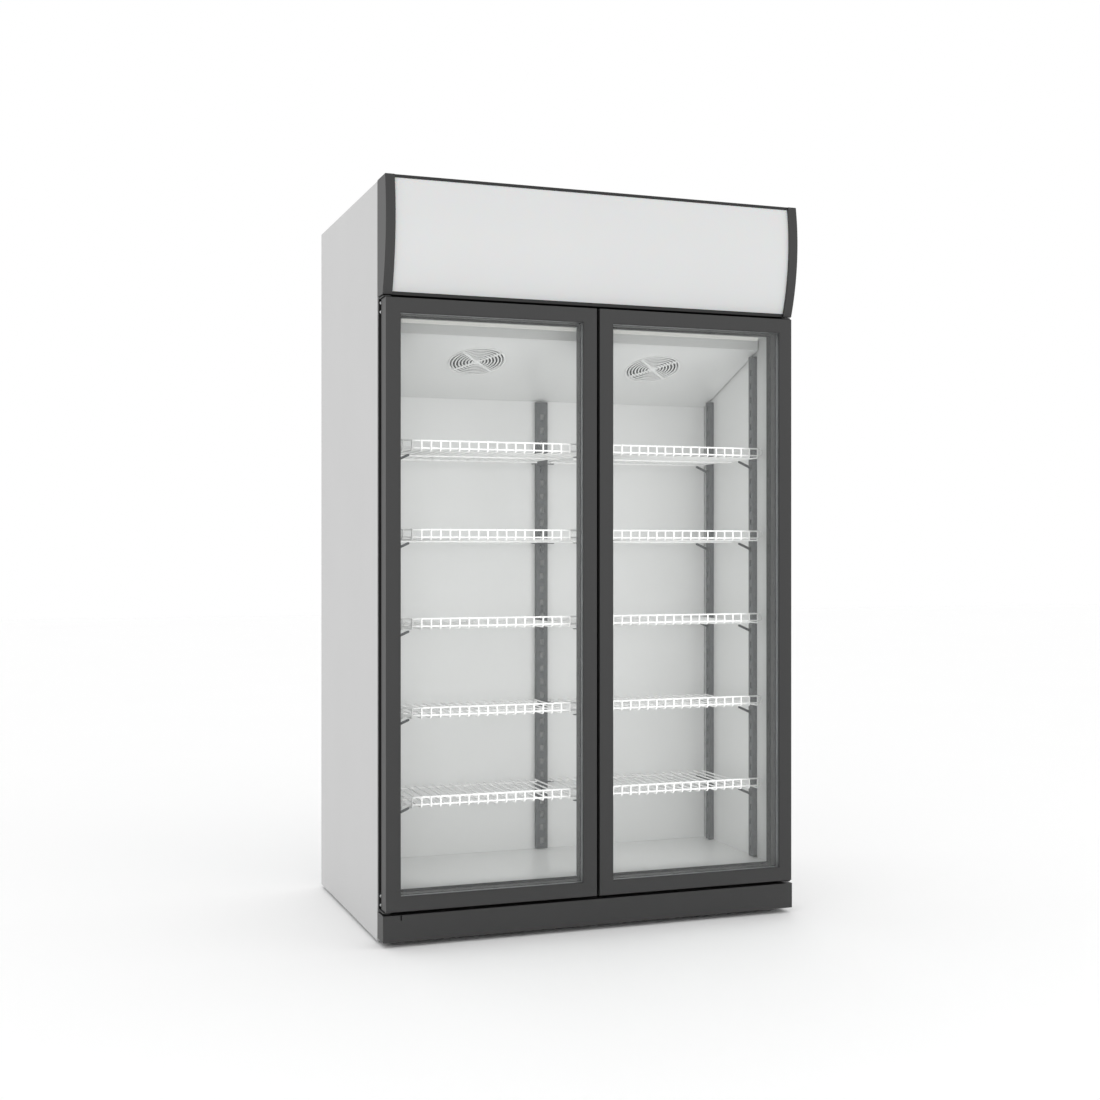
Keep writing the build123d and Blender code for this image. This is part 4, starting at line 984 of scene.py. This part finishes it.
class MERCHANDISER_OT_coils(bpy.types.Operator):
    """Build the finned coils"""
    bl_idname = "merchandiser.coils"
    bl_label = "Coils"

    def execute(self, context):
        build_coils()
        return {"FINISHED"}


class MERCHANDISER_OT_screws(bpy.types.Operator):
    """Build the hinge screws"""
    bl_idname = "merchandiser.screws"
    bl_label = "Hinge screws"

    def execute(self, context):
        build_screws()
        return {"FINISHED"}


class MERCHANDISER_OT_door_frames(bpy.types.Operator):
    """Build the extruded door frames"""
    bl_idname = "merchandiser.door_frames"
    bl_label = "Door frames"

    def execute(self, context):
        build_door_frames()
        return {"FINISHED"}


class MERCHANDISER_OT_gaskets(bpy.types.Operator):
    """Build the door gaskets"""
    bl_idname = "merchandiser.gaskets"
    bl_label = "Door gaskets"

    def execute(self, context):
        build_gaskets()
        return {"FINISHED"}


class MERCHANDISER_OT_soft_edges(bpy.types.Operator):
    """Round the sharp edges of the folded and moulded pieces"""
    bl_idname = "merchandiser.soft_edges"
    bl_label = "Soft edges"

    def execute(self, context):
        build_softened()
        return {"FINISHED"}


class MERCHANDISER_OT_stage(bpy.types.Operator):
    """Set up the floor, lights and camera"""
    bl_idname = "merchandiser.stage"
    bl_label = "Stage"

    def execute(self, context):
        build_stage()
        return {"FINISHED"}


OPERATORS = (
    MERCHANDISER_OT_stage,
    MERCHANDISER_OT_finishes,
    MERCHANDISER_OT_shelves,
    MERCHANDISER_OT_guards,
    MERCHANDISER_OT_coils,
    MERCHANDISER_OT_screws,
    MERCHANDISER_OT_door_frames,
    MERCHANDISER_OT_gaskets,
    MERCHANDISER_OT_soft_edges,
)


class MERCHANDISER_PT_panel(bpy.types.Panel):
    """Sizes, colours and the pieces that can be built"""
    bl_idname = "MERCHANDISER_PT_panel"
    bl_label = "Merchandiser"
    bl_space_type = "VIEW_3D"
    bl_region_type = "UI"
    bl_category = "Merchandiser"

    def draw(self, context):
        for operator in OPERATORS:
            self.layout.operator(operator.bl_idname)
        for group in (context.scene.merchandiser_sizes, context.scene.merchandiser_colours,
                      context.scene.merchandiser_stage):
            for name in group.__annotations__:
                self.layout.prop(group, name)


CLASSES = (MerchandiserSizes, MerchandiserColours, MerchandiserStage, *OPERATORS, MERCHANDISER_PT_panel)


def register():
    for item in CLASSES:
        bpy.utils.register_class(item)
    bpy.types.Scene.merchandiser_sizes = bpy.props.PointerProperty(type=MerchandiserSizes)
    bpy.types.Scene.merchandiser_colours = bpy.props.PointerProperty(type=MerchandiserColours)
    bpy.types.Scene.merchandiser_stage = bpy.props.PointerProperty(type=MerchandiserStage)


def unregister():
    del bpy.types.Scene.merchandiser_stage
    del bpy.types.Scene.merchandiser_colours
    del bpy.types.Scene.merchandiser_sizes
    for item in reversed(CLASSES):
        bpy.utils.unregister_class(item)


def main():
    """Registers the add-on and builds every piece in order."""
    register()
    for operator in OPERATORS:
        getattr(bpy.ops.merchandiser, operator.bl_idname.split(".")[1])()
    bpy.context.view_layer.update()


if __name__ == "__main__":
    main()
